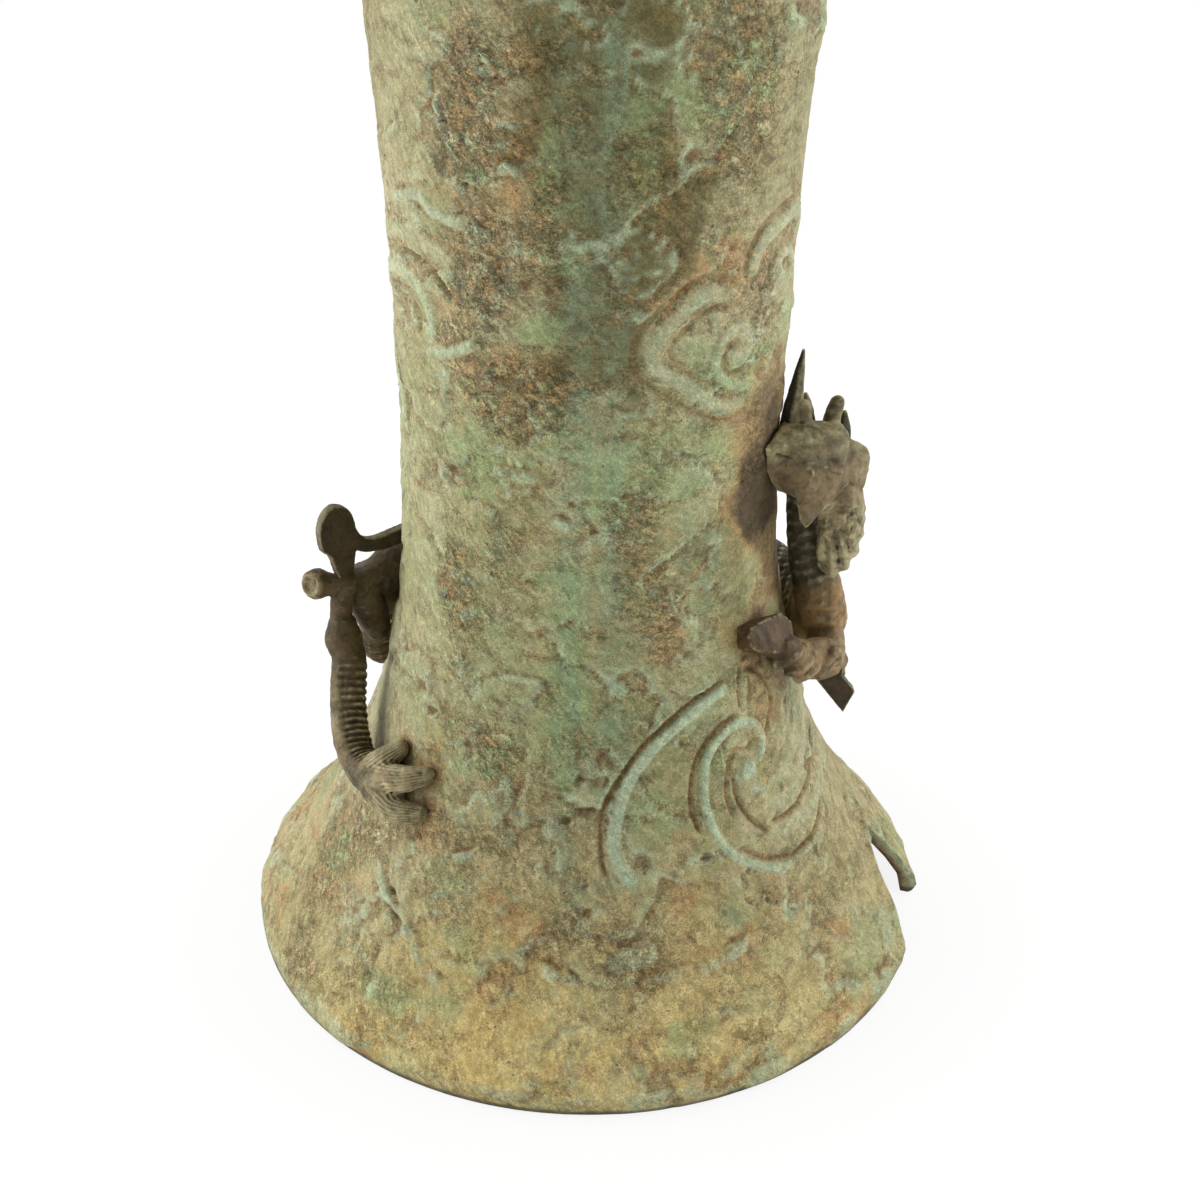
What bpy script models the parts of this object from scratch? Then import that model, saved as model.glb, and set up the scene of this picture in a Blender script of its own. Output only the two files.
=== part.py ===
"""Usubata: a cast bronze flower vase whose wide, thin-edged dish lifts off a trunk that a dragon climbs.

Metres, +Z up. The origin is the centre of the foot on the floor, and azimuth 0 is +X, growing toward +Y.
"""

import math

import bmesh
import bpy
from mathutils import Matrix, Vector

MM = 0.001

# Clearances
GAP = 0.3 * MM
SPIGOT_PLAY = 0.4 * MM

# Trunk: a turned profile, its foot flaring out to a short upright rim
FOOT_RADIUS = 100 * MM
WAIST_RADIUS = 49.6 * MM
MOUTH_RADIUS = 55.8 * MM
TRUNK_HEIGHT = 285 * MM
TRUNK_WALL = 3.2 * MM
RIM_BAND = 5 * MM
FLARE_TOP = 165 * MM
FLARE_POWER = 3.07
EDGE_ROLL = 1.5 * MM
EDGE_ROLL_HEIGHT = 12 * MM
EDGE_ROLL_SPREAD = 4.5 * MM
SWELL_START = 150 * MM
TURN_STEPS = 48

# Foot arches: the gap under a breaking wave, steep on one side
ARCH_AZIMUTHS = (-18, 138)
ARCH_NEAR = -17.4 * MM
ARCH_FAR = 16.7 * MM
ARCH_HEIGHT = 23.5 * MM

# Floor plate, pushed up from below against a ledge
FLOOR_HEIGHT = 78 * MM
FLOOR_THICKNESS = 3 * MM
LEDGE_WIDTH = 2.5 * MM
LEDGE_HEIGHT = 5 * MM

# Dish
DISH_RADIUS = 150 * MM
DISH_RISE = 50 * MM
DISH_LIP = 2 * MM
LIP_HEIGHT = 9 * MM
DISH_WALL = 3.5 * MM
SPIGOT_DEPTH = 25 * MM
SPIGOT_WALL = 3.5 * MM
SEAT_RISE = 14 * MM

# Liner
LINER_RADIUS = 42.5 * MM
LINER_WALL = 1.2 * MM
LINER_FLANGE = 52 * MM
LINER_CLEARANCE = 12 * MM
LINER_LIP = 3 * MM
LINER_FLOOR_THICKNESS = 1.2 * MM

# Rivets that hold the dragon to the trunk
RIVET_RADIUS = 1.6 * MM
RIVET_HEAD_RADIUS = 3.2 * MM
RIVET_HEAD_HEIGHT = 1.4 * MM
RIVET_REACH = 4 * MM

BRONZE = (0.23, 0.22, 0.15)
DARK_BRONZE = (0.10, 0.085, 0.065)
COPPER = (0.48, 0.22, 0.12)


# Shared tools


def clear_scene():
    for obj in list(bpy.data.objects):
        bpy.data.objects.remove(obj, do_unlink=True)


def metal(name, colour, roughness):
    found = bpy.data.materials.get(name)
    if found:
        return found
    made = bpy.data.materials.new(name)
    made.use_nodes = True
    shader = made.node_tree.nodes["Principled BSDF"]
    shader.inputs["Base Color"].default_value = (*colour, 1)
    shader.inputs["Roughness"].default_value = roughness
    shader.inputs["Metallic"].default_value = 0.85
    return made


def make_object(name, bm, material=None):
    bmesh.ops.remove_doubles(bm, verts=bm.verts, dist=0.001 * MM)
    bmesh.ops.recalc_face_normals(bm, faces=bm.faces)
    mesh = bpy.data.meshes.new(name)
    bm.to_mesh(mesh)
    bm.free()
    mesh.shade_smooth()
    mesh.set_sharp_from_angle(angle=math.radians(40))
    obj = bpy.data.objects.new(name, mesh)
    bpy.context.collection.objects.link(obj)
    if material:
        mesh.materials.append(material)
    return obj


def combine(obj, other, operation):
    """Applies an exact Boolean with the other object, which is used up."""
    modifier = obj.modifiers.new(operation, "BOOLEAN")
    modifier.operation = operation
    modifier.object = other
    modifier.solver = "EXACT"
    graph = bpy.context.evaluated_depsgraph_get()
    mesh = bpy.data.meshes.new_from_object(obj.evaluated_get(graph))
    obj.modifiers.clear()
    obj.data = mesh
    bpy.data.objects.remove(other, do_unlink=True)


def join(obj, *others):
    for other in others:
        combine(obj, other, "UNION")
    return obj


def cut(obj, *others):
    for other in others:
        combine(obj, other, "DIFFERENCE")
    return obj


def turn(name, profile, material=None, closed=True, steps=TURN_STEPS):
    """A turned solid from (radius, height) points, a loop or a line that ends on the axis."""
    bm = bmesh.new()
    verts = [bm.verts.new((radius, 0, height)) for radius, height in profile]
    edges = [bm.edges.new(pair) for pair in zip(verts, verts[1:])]
    if closed:
        edges.append(bm.edges.new((verts[-1], verts[0])))
    bmesh.ops.spin(
        bm,
        geom=verts + edges,
        cent=(0, 0, 0),
        axis=(0, 0, 1),
        angle=math.tau,
        steps=steps,
        use_merge=True,
    )
    return make_object(name, bm, material)


def loft(name, rings, material=None):
    """A closed skin over rings that have the same number of points."""
    bm = bmesh.new()
    loops = [[bm.verts.new(point) for point in ring] for ring in rings]
    count = len(rings[0])
    for near, far in zip(loops, loops[1:]):
        for k in range(count):
            after = (k + 1) % count
            bm.faces.new((near[k], near[after], far[after], far[k]))
    bm.faces.new(reversed(loops[0]))
    bm.faces.new(loops[-1])
    return make_object(name, bm, material)


def curve_through(stations, steps):
    """Points of a Catmull-Rom curve through the stations, each a tuple whose last value is a radius."""
    known = [Vector(station) for station in stations]
    known = [2 * known[0] - known[1], *known, 2 * known[-1] - known[-2]]
    made = []
    for before, start, end, after in zip(known, known[1:], known[2:], known[3:]):
        for k in range(steps):
            t = k / steps
            made.append(
                0.5
                * (
                    2 * start
                    + (end - before) * t
                    + (2 * before - 5 * start + 4 * end - after) * t**2
                    + (3 * start - before - 3 * end + after) * t**3
                )
            )
    made.append(known[-2])
    return made


def ring_round(centre, side, up, radius, sides, roll=0.0):
    angles = [math.tau * k / sides + roll for k in range(sides)]
    return [centre + radius * (math.cos(a) * side + math.sin(a) * up) for a in angles]


def tube(name, stations, material=None, steps=3, sides=10, ribs=(0, 0), rib_depth=0.0, grow=0.0, roll=0.0):
    """A limb along (x, y, z, radius) stations with domed ends.

    Ribs narrow every other ring between two shares of its length, grow makes it fatter all round, and roll
    turns the corners of one with few sides.
    """
    points = curve_through(stations, steps)
    centres = [point.to_3d() for point in points]
    radii = [point[3] + grow for point in points]
    first, last = (round(share * len(points)) for share in ribs)
    for k in range(first, last, 2):
        radii[k] *= 1 - rib_depth
    befores = centres[:1] + centres
    afters = centres[1:] + centres[-1:]
    tangents = [(after - before).normalized() for before, after in zip(befores, afters)]
    side = tangents[0].orthogonal().normalized()
    rings = []
    for k, (centre, tangent, radius) in enumerate(zip(centres, tangents, radii)):
        side = (side - side.dot(tangent) * tangent).normalized()
        up = tangent.cross(side)
        domes = ((0, 1.0),)
        if k == 0:
            domes = ((-0.92, 0.4), (-0.6, 0.8), (0, 1.0))
        if k == len(points) - 1:
            domes = ((0, 1.0), (0.6, 0.8), (0.92, 0.4))
        for along, share in domes:
            rings.append(ring_round(centre + along * radius * tangent, side, up, share * radius, sides, roll))
    return loft(name, rings, material)


def plate(name, outline, origin, along, thickness, material=None):
    """A flat casting: an outline of (along, up) points in an upright plane, thickened both ways."""
    across = along.cross(Vector((0, 0, 1))).normalized() * thickness / 2
    faces = []
    for offset in (-across, across):
        faces.append([origin + offset + s * along + Vector((0, 0, z)) for s, z in outline])
    return loft(name, faces, material)


def bend(start, control, end, steps):
    """Points of a quadratic curve, without its first point."""
    made = []
    for k in range(1, steps + 1):
        t = k / steps
        made.append(
            tuple(a * (1 - t) ** 2 + 2 * b * t * (1 - t) + c * t * t for a, b, c in zip(start, control, end))
        )
    return made


# The trunk's surface, which everything on it follows


def trunk_radius(height):
    flare = max(0.0, 1 - (max(height, RIM_BAND) - RIM_BAND) / (FLARE_TOP - RIM_BAND)) ** FLARE_POWER
    swell = max(0.0, (height - SWELL_START) / (TRUNK_HEIGHT - SWELL_START)) ** 2
    roll = 0.0
    if height > RIM_BAND:
        roll = EDGE_ROLL * math.exp(-(((height - EDGE_ROLL_HEIGHT) / EDGE_ROLL_SPREAD) ** 2))
    return WAIST_RADIUS + (FOOT_RADIUS - WAIST_RADIUS) * flare + (MOUTH_RADIUS - WAIST_RADIUS) * swell + roll


def outward(height):
    """(radial, vertical) parts of the trunk's outward normal."""
    step = 0.5 * MM
    slope = (trunk_radius(height + step) - trunk_radius(height - step)) / (2 * step)
    length = math.hypot(1, slope)
    return 1 / length, -slope / length


def on_trunk(azimuth, height, stand_off=0.0):
    """A point at a distance out from the trunk's surface; azimuth in degrees, sizes in millimetres."""
    radius = trunk_radius(height * MM) + stand_off * MM
    angle = math.radians(azimuth)
    return Vector((radius * math.cos(angle), radius * math.sin(angle), height * MM))


def trunk_heights():
    """Heights of the profile's points, closer together where the foot curves."""
    low = [0, 5, 8.5, 13, 19, 26, 34, 44, 56, 70, 88, 112, 150]
    made = [height * MM for height in low]
    upper = 4
    made += [SWELL_START + (TRUNK_HEIGHT - SWELL_START) * k / upper for k in range(1, upper + 1)]
    return made


def trunk_inside(height):
    """The wall's inner (radius, height) opposite an outer height."""
    radial, vertical = outward(height)
    return trunk_radius(height) - TRUNK_WALL * radial, height - TRUNK_WALL * vertical


def inside_radius(height):
    """The bore's radius at its own height."""
    points = sorted((trunk_inside(k * MM)[::-1] for k in range(8, round(TRUNK_HEIGHT / MM) + 1)))
    for (low, near), (high, far) in zip(points, points[1:]):
        if low <= height <= high:
            return near + (far - near) * (height - low) / (high - low)
    return points[-1][1]


def trunk_envelope(name="envelope"):
    """The trunk without its bore, grown by the gap: what sits on the trunk is cut by it."""
    profile = [(0, -GAP)]
    for height in trunk_heights():
        profile.append((trunk_radius(height) + GAP / outward(height)[0], height))
    profile.append((0, TRUNK_HEIGHT))
    return turn(name, profile, closed=False)


def make_trunk(material):
    seat = FLOOR_HEIGHT
    outer = [(trunk_radius(height), height) for height in trunk_heights()]
    inner = []
    for height in trunk_heights():
        point = trunk_inside(height)
        if height > RIM_BAND + 2 * MM and point[1] > 2 * MM:
            inner.append(point)
    inner[-1] = (inner[-1][0], TRUNK_HEIGHT)
    below = [point for point in inner if point[1] < seat - 2 * MM]
    above = [point for point in inner if point[1] > seat + LEDGE_HEIGHT + 2 * MM]
    bore = inside_radius(seat)
    ledge = [
        (bore, seat),
        (bore - LEDGE_WIDTH, seat),
        (bore - LEDGE_WIDTH, seat + LEDGE_HEIGHT / 2),
        (inside_radius(seat + LEDGE_HEIGHT), seat + LEDGE_HEIGHT),
    ]
    profile = [(FOOT_RADIUS - TRUNK_WALL, 0), *outer, *reversed([*below, *ledge, *above])]
    trunk = turn("trunk", profile, material)
    cut(trunk, *(arch_cutter(azimuth) for azimuth in ARCH_AZIMUTHS))
    return trunk


def arch_cutter(azimuth):
    """The arch's outline pushed outward through the foot."""
    crown = (ARCH_FAR - 4.5 * MM, ARCH_HEIGHT)
    below = -2 * MM
    outline = [(ARCH_NEAR, below), (ARCH_NEAR, 0)]
    outline += bend(outline[-1], (-5 * MM, 0.7 * ARCH_HEIGHT), crown, 6)
    outline += bend(crown, (ARCH_FAR - 0.5 * MM, ARCH_HEIGHT), (ARCH_FAR - 0.5 * MM, 0.75 * ARCH_HEIGHT), 4)
    outline += [(ARCH_FAR, 0), (ARCH_FAR, below)]
    angle = math.radians(azimuth)
    out = Vector((math.cos(angle), math.sin(angle), 0))
    along = Vector((-math.sin(angle), math.cos(angle), 0))
    faces = []
    for reach in (0.5 * FOOT_RADIUS, 1.2 * FOOT_RADIUS):
        faces.append([reach * out + s * along + Vector((0, 0, z)) for s, z in outline])
    return loft("arch", faces)


def make_floor(material):
    top = FLOOR_HEIGHT - GAP
    bottom = top - FLOOR_THICKNESS
    profile = [(0, bottom), (inside_radius(bottom) - GAP, bottom), (inside_radius(top) - GAP, top), (0, top)]
    return turn("trunk_floor", profile, material, closed=False)


# Dish and liner


def make_dish(material):
    seat = TRUNK_HEIGHT + GAP
    top = TRUNK_HEIGHT + DISH_RISE
    ledge = TRUNK_HEIGHT + SEAT_RISE
    tip = TRUNK_HEIGHT - SPIGOT_DEPTH
    spigot = [(inside_radius(height) - SPIGOT_PLAY, height) for height in (tip, TRUNK_HEIGHT)]
    bore = spigot[0][0] - SPIGOT_WALL
    recess = LINER_FLANGE + SPIGOT_PLAY
    brim = (DISH_RADIUS - 5 * MM, top - LIP_HEIGHT)
    neck = (MOUTH_RADIUS, seat)
    profile = [(bore, tip), *spigot, (spigot[1][0], seat), neck]
    profile += bend(neck, (MOUTH_RADIUS + 2 * MM, top - LIP_HEIGHT - 6 * MM), brim, 5)
    profile += bend(brim, (DISH_RADIUS, top - LIP_HEIGHT), (DISH_RADIUS, top), 3)
    inside = (DISH_RADIUS - DISH_LIP, top)
    basin = (brim[0] - 2 * MM, brim[1] + DISH_WALL)
    throat = (recess, ledge + 3 * MM)
    profile.append(inside)
    profile += bend(inside, (inside[0] - 1 * MM, basin[1]), basin, 2)
    profile += bend(basin, (recess + 4 * MM, basin[1] - 4 * MM), throat, 4)
    profile += [(recess, ledge), (bore, ledge)]
    return turn("dish", profile, material)


def liner_bottom():
    return FLOOR_HEIGHT + LEDGE_HEIGHT + LINER_CLEARANCE


def make_liner(material):
    seat = TRUNK_HEIGHT + SEAT_RISE + GAP
    bottom = liner_bottom()
    inner = LINER_RADIUS - LINER_WALL
    profile = [
        (inner - LINER_LIP, bottom),
        (LINER_RADIUS, bottom),
        (LINER_RADIUS, seat),
        (LINER_FLANGE, seat),
        (LINER_FLANGE, seat + LINER_WALL),
        (inner, seat + LINER_WALL),
        (inner, bottom + LINER_WALL),
        (inner - LINER_LIP, bottom + LINER_WALL),
    ]
    return turn("liner_cup", profile, material)


def make_liner_floor(material):
    radius = LINER_RADIUS - LINER_WALL - GAP
    bottom = liner_bottom() + LINER_WALL + GAP
    profile = [(0, bottom), (radius, bottom), (radius, bottom + LINER_FLOOR_THICKNESS)]
    profile.append((0, bottom + LINER_FLOOR_THICKNESS))
    return turn("liner_floor", profile, material, closed=False)


# Dragon. Stations are (azimuth, height, distance out from the trunk, radius) in degrees and millimetres.


BODY = (
    (-5, 132, 7.6, 5),
    (-4, 121, 7.6, 5),
    (-6, 110, 8.4, 5.6),
    (-7, 100, 10.5, 6.8),
    (-6, 90, 10.5, 7.4),
    (12, 86, 10, 8.4),
    (35, 88, 9, 9),
    (60, 93, 8.6, 9.2),
    (90, 96, 8.6, 9.4),
    (118, 91, 8.8, 9.4),
    (140, 83, 9.8, 9.4),
    (156, 77, 10.8, 8.6),
)
TAIL = (
    (145, 89, 9.4, 7.4),
    (138, 102, 8.2, 7),
    (118, 113, 6.6, 6.4),
    (96, 121, 5.6, 5.8),
    (76, 132, 5, 5.2),
    (64, 148, 4.6, 4.6),
    (68, 164, 4.2, 4),
    (84, 175, 3.8, 3.4),
    (100, 184, 3.4, 2.8),
    (106, 196, 3, 2),
)
HIND_LIMB = (
    (157, 82, 10.5, 7.6),
    (166, 90, 10, 7.2),
    (176, 95, 11.5, 5.6),
    (185, 98, 15, 4),
    (186.5, 90.5, 15.4, 3.6),
    (188, 84, 13.7, 3.8),
)
HIND_FOREARM = (
    (188, 84, 13.4, 4.6),
    (191, 78, 11, 4.9),
    (196, 70, 9.8, 5),
    (202, 62.5, 8, 5),
    (209, 57.5, 5.5, 5),
    (219, 57.5, 4, 5.6),
)
# The two legs behind the trunk start inside the body and bulge at the knee
HIDDEN_FOREARM = (
    (195, 78, 10.5, 5),
    (191.5, 70, 10, 6),
    (194, 62.5, 8.6, 5.8),
    (202, 58, 7, 5.2),
    *HIND_FOREARM[-2:],
)
HIND_TOES = (
    ((213, 59, 5, 4.2), (216, 63.5, 4.5, 3.4), (217.5, 66.5, 1.2, 1.4)),
    ((217, 59, 5, 4.4), (224, 62, 4.4, 3.5), (229, 64.5, 0.8, 1.4)),
    ((216, 56, 5, 4.4), (224, 54, 4.2, 3.6), (230.5, 55, 0.8, 1.4)),
)
HIND_SPUR = ((185, 99, 14.5, 2.6), (185.5, 99.5, 19, 3), (186.5, 100.5, 23, 4.2))
# How a leg's azimuths are laid out: (1 or -1 to mirror it, then a turn)
AS_DRAWN = (1, 0)
HIND_MIRROR = (-1, 351)
FORE_TURN = (1, -168)

FORE_ARM = ((-7, 91, 10.5, 5), (-11, 87, 12.5, 5.4), (-15.5, 84.5, 13.5, 5.2))
FORE_PAW = ((-15, 84.5, 13.2, 5), (-22, 86.5, 10.5, 5), (-29, 91, 7, 6.4), (-36.5, 96, 3, 8))
FORE_PAW_ROLL = math.radians(35)
FORE_KNUCKLES = (
    ((-15, 88, 14.5, 3), (-16.5, 83.5, 15.5, 3.4)),
    ((-20.5, 91, 11.5, 3), (-21.5, 84.5, 12.5, 3.6)),
    ((-26, 93, 8.5, 3), (-26.5, 87, 8, 3.6)),
)

# The head's own frame: across its brow, back into its nape and up
HEAD_PLACE = (-16.4, 141, 10.9)
HEAD_HEADING = 28
HEAD_POINT = 1.3
HEAD_RINGS = (
    # height, centre across, half width, centre back, half depth
    (8.5, 0.5, 8, 6.5, 3),
    (7, 1, 11.5, 5, 6.5),
    (3, -1, 17.4, 2.5, 9),
    (-1.5, 1, 16.8, 1, 9.5),
    (-6, 0.6, 15.2, 0.5, 9),
    (-9, 0.8, 12.5, 0.5, 8.5),
    (-10.5, -1, 7.5, -1, 7.5),
    (-13, -3.3, 4.2, -2.5, 5.5),
    (-16, -4.8, 2.6, -4, 3.5),
    (-17.5, -5.4, 1.2, -4.6, 1.8),
)
BEARD_RINGS = (
    (-7, 7.5, 5.6, 0.5, 4),
    (-12, 7.6, 7.6, -0.5, 5),
    (-19, 8.6, 7.2, -1.3, 5.5),
    (-26, 8.2, 6.4, -1.3, 5.3),
    (-31, 7.4, 4.6, -1, 4.3),
    (-34, 6.8, 2, -0.5, 2.4),
)
# Stubs on the crown: (across, back, up, radius) from root to tip
EARS = (
    ((-1.5, 5.5, 6, 2.4), (-1.8, 5.4, 10, 2.3), (-2.2, 5.2, 12, 2)),
    ((8.2, 5.2, 5, 2.2), (8.6, 5, 9, 2.2), (9, 4.6, 11.5, 2)),
    ((1.2, 8, 5, 1.8), (0.8, 8.2, 9, 1.5), (0, 8.6, 13.6, 0.7)),
)
LONG_HORN = ((-4.2, 7, 4.5, 2.5), (-4, 7, 12, 2.2), (-2.8, 7.2, 19, 1.5), (-0.6, 7.6, 25.2, 0.6))
SHORT_HORN = ((12.2, 5.8, 1, 2.3), (12.6, 6.2, 4, 2), (12.6, 6.6, 8, 0.8))

# Flames: flat castings in upright planes, (along, height) outlines
FLAME_THICKNESS = 3.2 * MM
HIND_FLAME_PLACE = (185, 98, 16.7)
HIND_FLAME_TURN = -147
FORE_FLAME_PLACE = (-15.4, 84.5, 15.4)
FORE_FLAME_TURN = 15

RIVETS = {
    "rivet_head": (-23, 141),
    "rivet_foreleg_right": (-35, 95.5),
    "rivet_foreleg_left": (50.5, 57.5),
    "rivet_hindleg_left": (218.5, 57.5),
    "rivet_hindleg_right": (132.5, 57.5),
    "rivet_body": (90, 96),
    "rivet_tail": (70, 140),
}


def stations(points, layout=AS_DRAWN):
    """World stations in metres, mirrored and turned about the trunk's axis by the layout."""
    sign, turn_by = layout
    return [(*on_trunk(sign * azimuth + turn_by, *rest), radius * MM) for azimuth, *rest, radius in points]


def body_tube(name, material=None, grow=0.0):
    return tube(name, stations(BODY), material, steps=4, sides=10, ribs=(0, 0.34), rib_depth=0.08, grow=grow)


def tail_tube(name, material=None, grow=0.0):
    return tube(name, stations(TAIL), material, steps=2, sides=10, grow=grow)


def gripping_forearm(name, bones, layout, material=None, grow=0.0):
    """A ribbed forearm that ends in three toes."""
    forearm = stations(bones, layout)
    made = tube(name, forearm, material, steps=4, sides=8, ribs=(0.08, 0.8), rib_depth=0.09, grow=grow)
    return join(made, *(tube("toe", stations(toe, layout), steps=2, sides=6, grow=grow) for toe in HIND_TOES))


def hind_leg(name, material=None, grow=0.0):
    leg = gripping_forearm(name, HIND_FOREARM, AS_DRAWN, material, grow)
    thigh = tube("thigh", stations(HIND_LIMB), steps=2, sides=8, grow=grow)
    return join(leg, thigh, tube("spur", stations(HIND_SPUR), steps=2, sides=8, grow=grow))


def fore_leg(name, material=None, grow=0.0):
    leg = tube(name, stations(FORE_ARM), material, steps=2, sides=8, grow=grow)
    paw = tube("paw", stations(FORE_PAW), steps=3, sides=4, grow=grow, roll=FORE_PAW_ROLL)
    knuckles = [tube("knuckle", stations(bone), steps=2, sides=6, grow=grow) for bone in FORE_KNUCKLES]
    return join(leg, paw, *knuckles)


def head_frame():
    return Matrix.Translation(on_trunk(*HEAD_PLACE)) @ Matrix.Rotation(math.radians(HEAD_HEADING), 4, "Z")


def pointed(wave):
    """A sine or cosine drawn toward zero, so that a ring runs to a point where its other one is least."""
    return math.copysign(abs(wave) ** HEAD_POINT, wave)


def head_loft(name, rings, material=None, sides=16):
    frame = head_frame()
    made = []
    for height, across, half_width, back, half_depth in rings:
        ring = []
        for k in range(sides):
            angle = math.tau * k / sides
            x = across + half_width * pointed(math.cos(angle))
            y = back + half_depth * pointed(math.sin(angle))
            ring.append(frame @ (Vector((x, y, height)) * MM))
        made.append(ring)
    return loft(name, made, material)


def head_stub(name, points, material=None, grow=0.0):
    frame = head_frame()
    made = []
    for across, back, up, radius in points:
        made.append((*(frame @ (Vector((across, back, up)) * MM)), radius * MM))
    return tube(name, made, material, steps=2, sides=8, grow=grow)


def make_head(material):
    head = head_loft("dragon_head", HEAD_RINGS, material)
    join(head, head_loft("beard", BEARD_RINGS, sides=12))
    return join(head, *(head_stub("ear", ear) for ear in EARS))


def flame_frame(place, turn_by):
    """A flame's origin on the floor below it and the level direction that it runs in."""
    heading = math.radians(place[0] + turn_by)
    origin = on_trunk(*place)
    origin.z = 0
    return origin, Vector((math.cos(heading), math.sin(heading), 0))


def hind_flame(name, material):
    """A hooked scroll whose ribbon runs back to the trunk."""
    tip = (-4.4, 110)
    crown = (-0.5, 122.4)
    neck = (5.8, 115)
    ribbon = (12, 110.4)
    under = (26, 108)
    outline = [tip]
    outline += bend(tip, (-6.5, 119.5), crown, 4)
    outline += bend(crown, (5.2, 123), neck, 4)
    outline += bend(neck, (7.4, 110.4), ribbon, 3)
    outline += [(26, 112.4), under]
    outline += bend(under, (11, 104.6), (5.2, 108.4), 4)
    outline += [(4.4, 104), (4.4, 98.5), (0.4, 98.5), (-1.4, 105)]
    outline += bend((-1.4, 105), (-2, 109), (-4, 109.6), 2)
    origin, along = flame_frame(HIND_FLAME_PLACE, HIND_FLAME_TURN)
    outline = [(s * MM, z * MM) for s, z in outline]
    return plate(name, outline, origin, along, FLAME_THICKNESS, material)


def fore_flame(name, material):
    """A square-cut spur below the elbow."""
    outline = [(-4, 85.5), (0.5, 85.5), (0.9, 79), (4.9, 74), (2.1, 67.2), (-6.2, 77.6)]
    origin, along = flame_frame(FORE_FLAME_PLACE, FORE_FLAME_TURN)
    outline = [(s * MM, z * MM) for s, z in outline]
    return plate(name, outline, origin, along, FLAME_THICKNESS, material)


def rivet_rings(azimuth, height, profile, sides=10):
    """Rings round the trunk's normal; the profile is (distance out, radius)."""
    surface = on_trunk(azimuth, height)
    radial, vertical = outward(height * MM)
    angle = math.radians(azimuth)
    axis = Vector((radial * math.cos(angle), radial * math.sin(angle), vertical))
    side = Vector((-math.sin(angle), math.cos(angle), 0))
    up = axis.cross(side)
    return [ring_round(surface + out * axis, side, up, radius, sides) for out, radius in profile]


def make_rivet(name, place, material):
    under = -TRUNK_WALL - GAP - 0.2 * MM
    profile = (
        (under - RIVET_HEAD_HEIGHT, 0.6 * RIVET_HEAD_RADIUS),
        (under - 0.4 * RIVET_HEAD_HEIGHT, RIVET_HEAD_RADIUS),
        (under, RIVET_HEAD_RADIUS),
        (under, RIVET_RADIUS),
        (RIVET_REACH, RIVET_RADIUS),
    )
    return loft(name, rivet_rings(*place, profile), material)


def rivet_hole(place):
    profile = ((-2 * TRUNK_WALL, RIVET_RADIUS + GAP), (RIVET_REACH + GAP, RIVET_RADIUS + GAP))
    return loft("hole", rivet_rings(*place, profile))


def make_dragon(material):
    """The castings of the dragon, each cut to seat on what carries it."""
    pieces = {"body": cut(body_tube("dragon_body", material), trunk_envelope())}
    pieces["tail"] = cut(tail_tube("dragon_tail", material), trunk_envelope(), body_tube("grown", grow=GAP))
    head = make_head(material)
    pieces["head"] = cut(head, trunk_envelope(), body_tube("grown", grow=GAP))
    for name, horn in (("horn_long", LONG_HORN), ("horn_short", SHORT_HORN)):
        cut(head_stub(name, horn, material), trunk_envelope())
        cut(head, head_stub("grown", horn, grow=GAP))
    pieces["hindleg_left"] = hind_leg("hindleg_left", material)
    pieces["hindleg_right"] = gripping_forearm("hindleg_right", HIDDEN_FOREARM, HIND_MIRROR, material)
    pieces["foreleg_right"] = fore_leg("foreleg_right", material)
    pieces["foreleg_left"] = gripping_forearm("foreleg_left", HIDDEN_FOREARM, FORE_TURN, material)
    for end in ("hindleg", "foreleg"):
        for side in ("left", "right"):
            cut(pieces[f"{end}_{side}"], trunk_envelope(), body_tube("grown", grow=GAP))
    cut(hind_flame("flame_hind_left", material), trunk_envelope(), hind_leg("grown", grow=GAP))
    cut(fore_flame("flame_fore_right", material), trunk_envelope(), fore_leg("grown", grow=GAP))
    return pieces


def main():
    clear_scene()
    bronze = metal("patinated_bronze", BRONZE, 0.55)
    dark = metal("dark_bronze", DARK_BRONZE, 0.5)
    copper = metal("copper", COPPER, 0.4)
    trunk = make_trunk(bronze)
    make_floor(bronze)
    make_dish(bronze)
    make_liner(copper)
    make_liner_floor(copper)
    pieces = make_dragon(dark)
    for name, place in RIVETS.items():
        cut(trunk, rivet_hole(place))
        cut(pieces[name.removeprefix("rivet_")], rivet_hole(place))
        make_rivet(name, place, dark)


main()
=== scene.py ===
"""Usubata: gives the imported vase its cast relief, its patina and a fully modelled dragon.

Metres, +Z up, in the frame's own place. Azimuth 0 is +X and grows toward +Y.
Tables are in degrees and millimetres.
"""

import math

import bmesh
import bpy
import numpy as np
from bpy.props import FloatProperty, FloatVectorProperty, PointerProperty
from mathutils import Matrix, Vector, noise
from mathutils.kdtree import KDTree


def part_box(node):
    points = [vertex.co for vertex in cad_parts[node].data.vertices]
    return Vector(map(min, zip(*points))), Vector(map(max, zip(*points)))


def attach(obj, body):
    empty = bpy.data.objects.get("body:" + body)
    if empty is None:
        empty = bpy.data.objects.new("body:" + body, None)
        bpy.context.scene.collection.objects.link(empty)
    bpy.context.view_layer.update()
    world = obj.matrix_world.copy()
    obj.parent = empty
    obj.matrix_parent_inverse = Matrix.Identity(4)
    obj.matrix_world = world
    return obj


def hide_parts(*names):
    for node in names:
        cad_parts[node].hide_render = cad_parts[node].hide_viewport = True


bl_info = {
    "name": "Usubata vase",
    "version": (1, 0, 0),
    "blender": (4, 5, 0),
    "location": "View3D > Sidebar > Usubata",
    "description": "Finishes a cast bronze usubata vase and its climbing dragon",
    "category": "Object",
}

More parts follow.
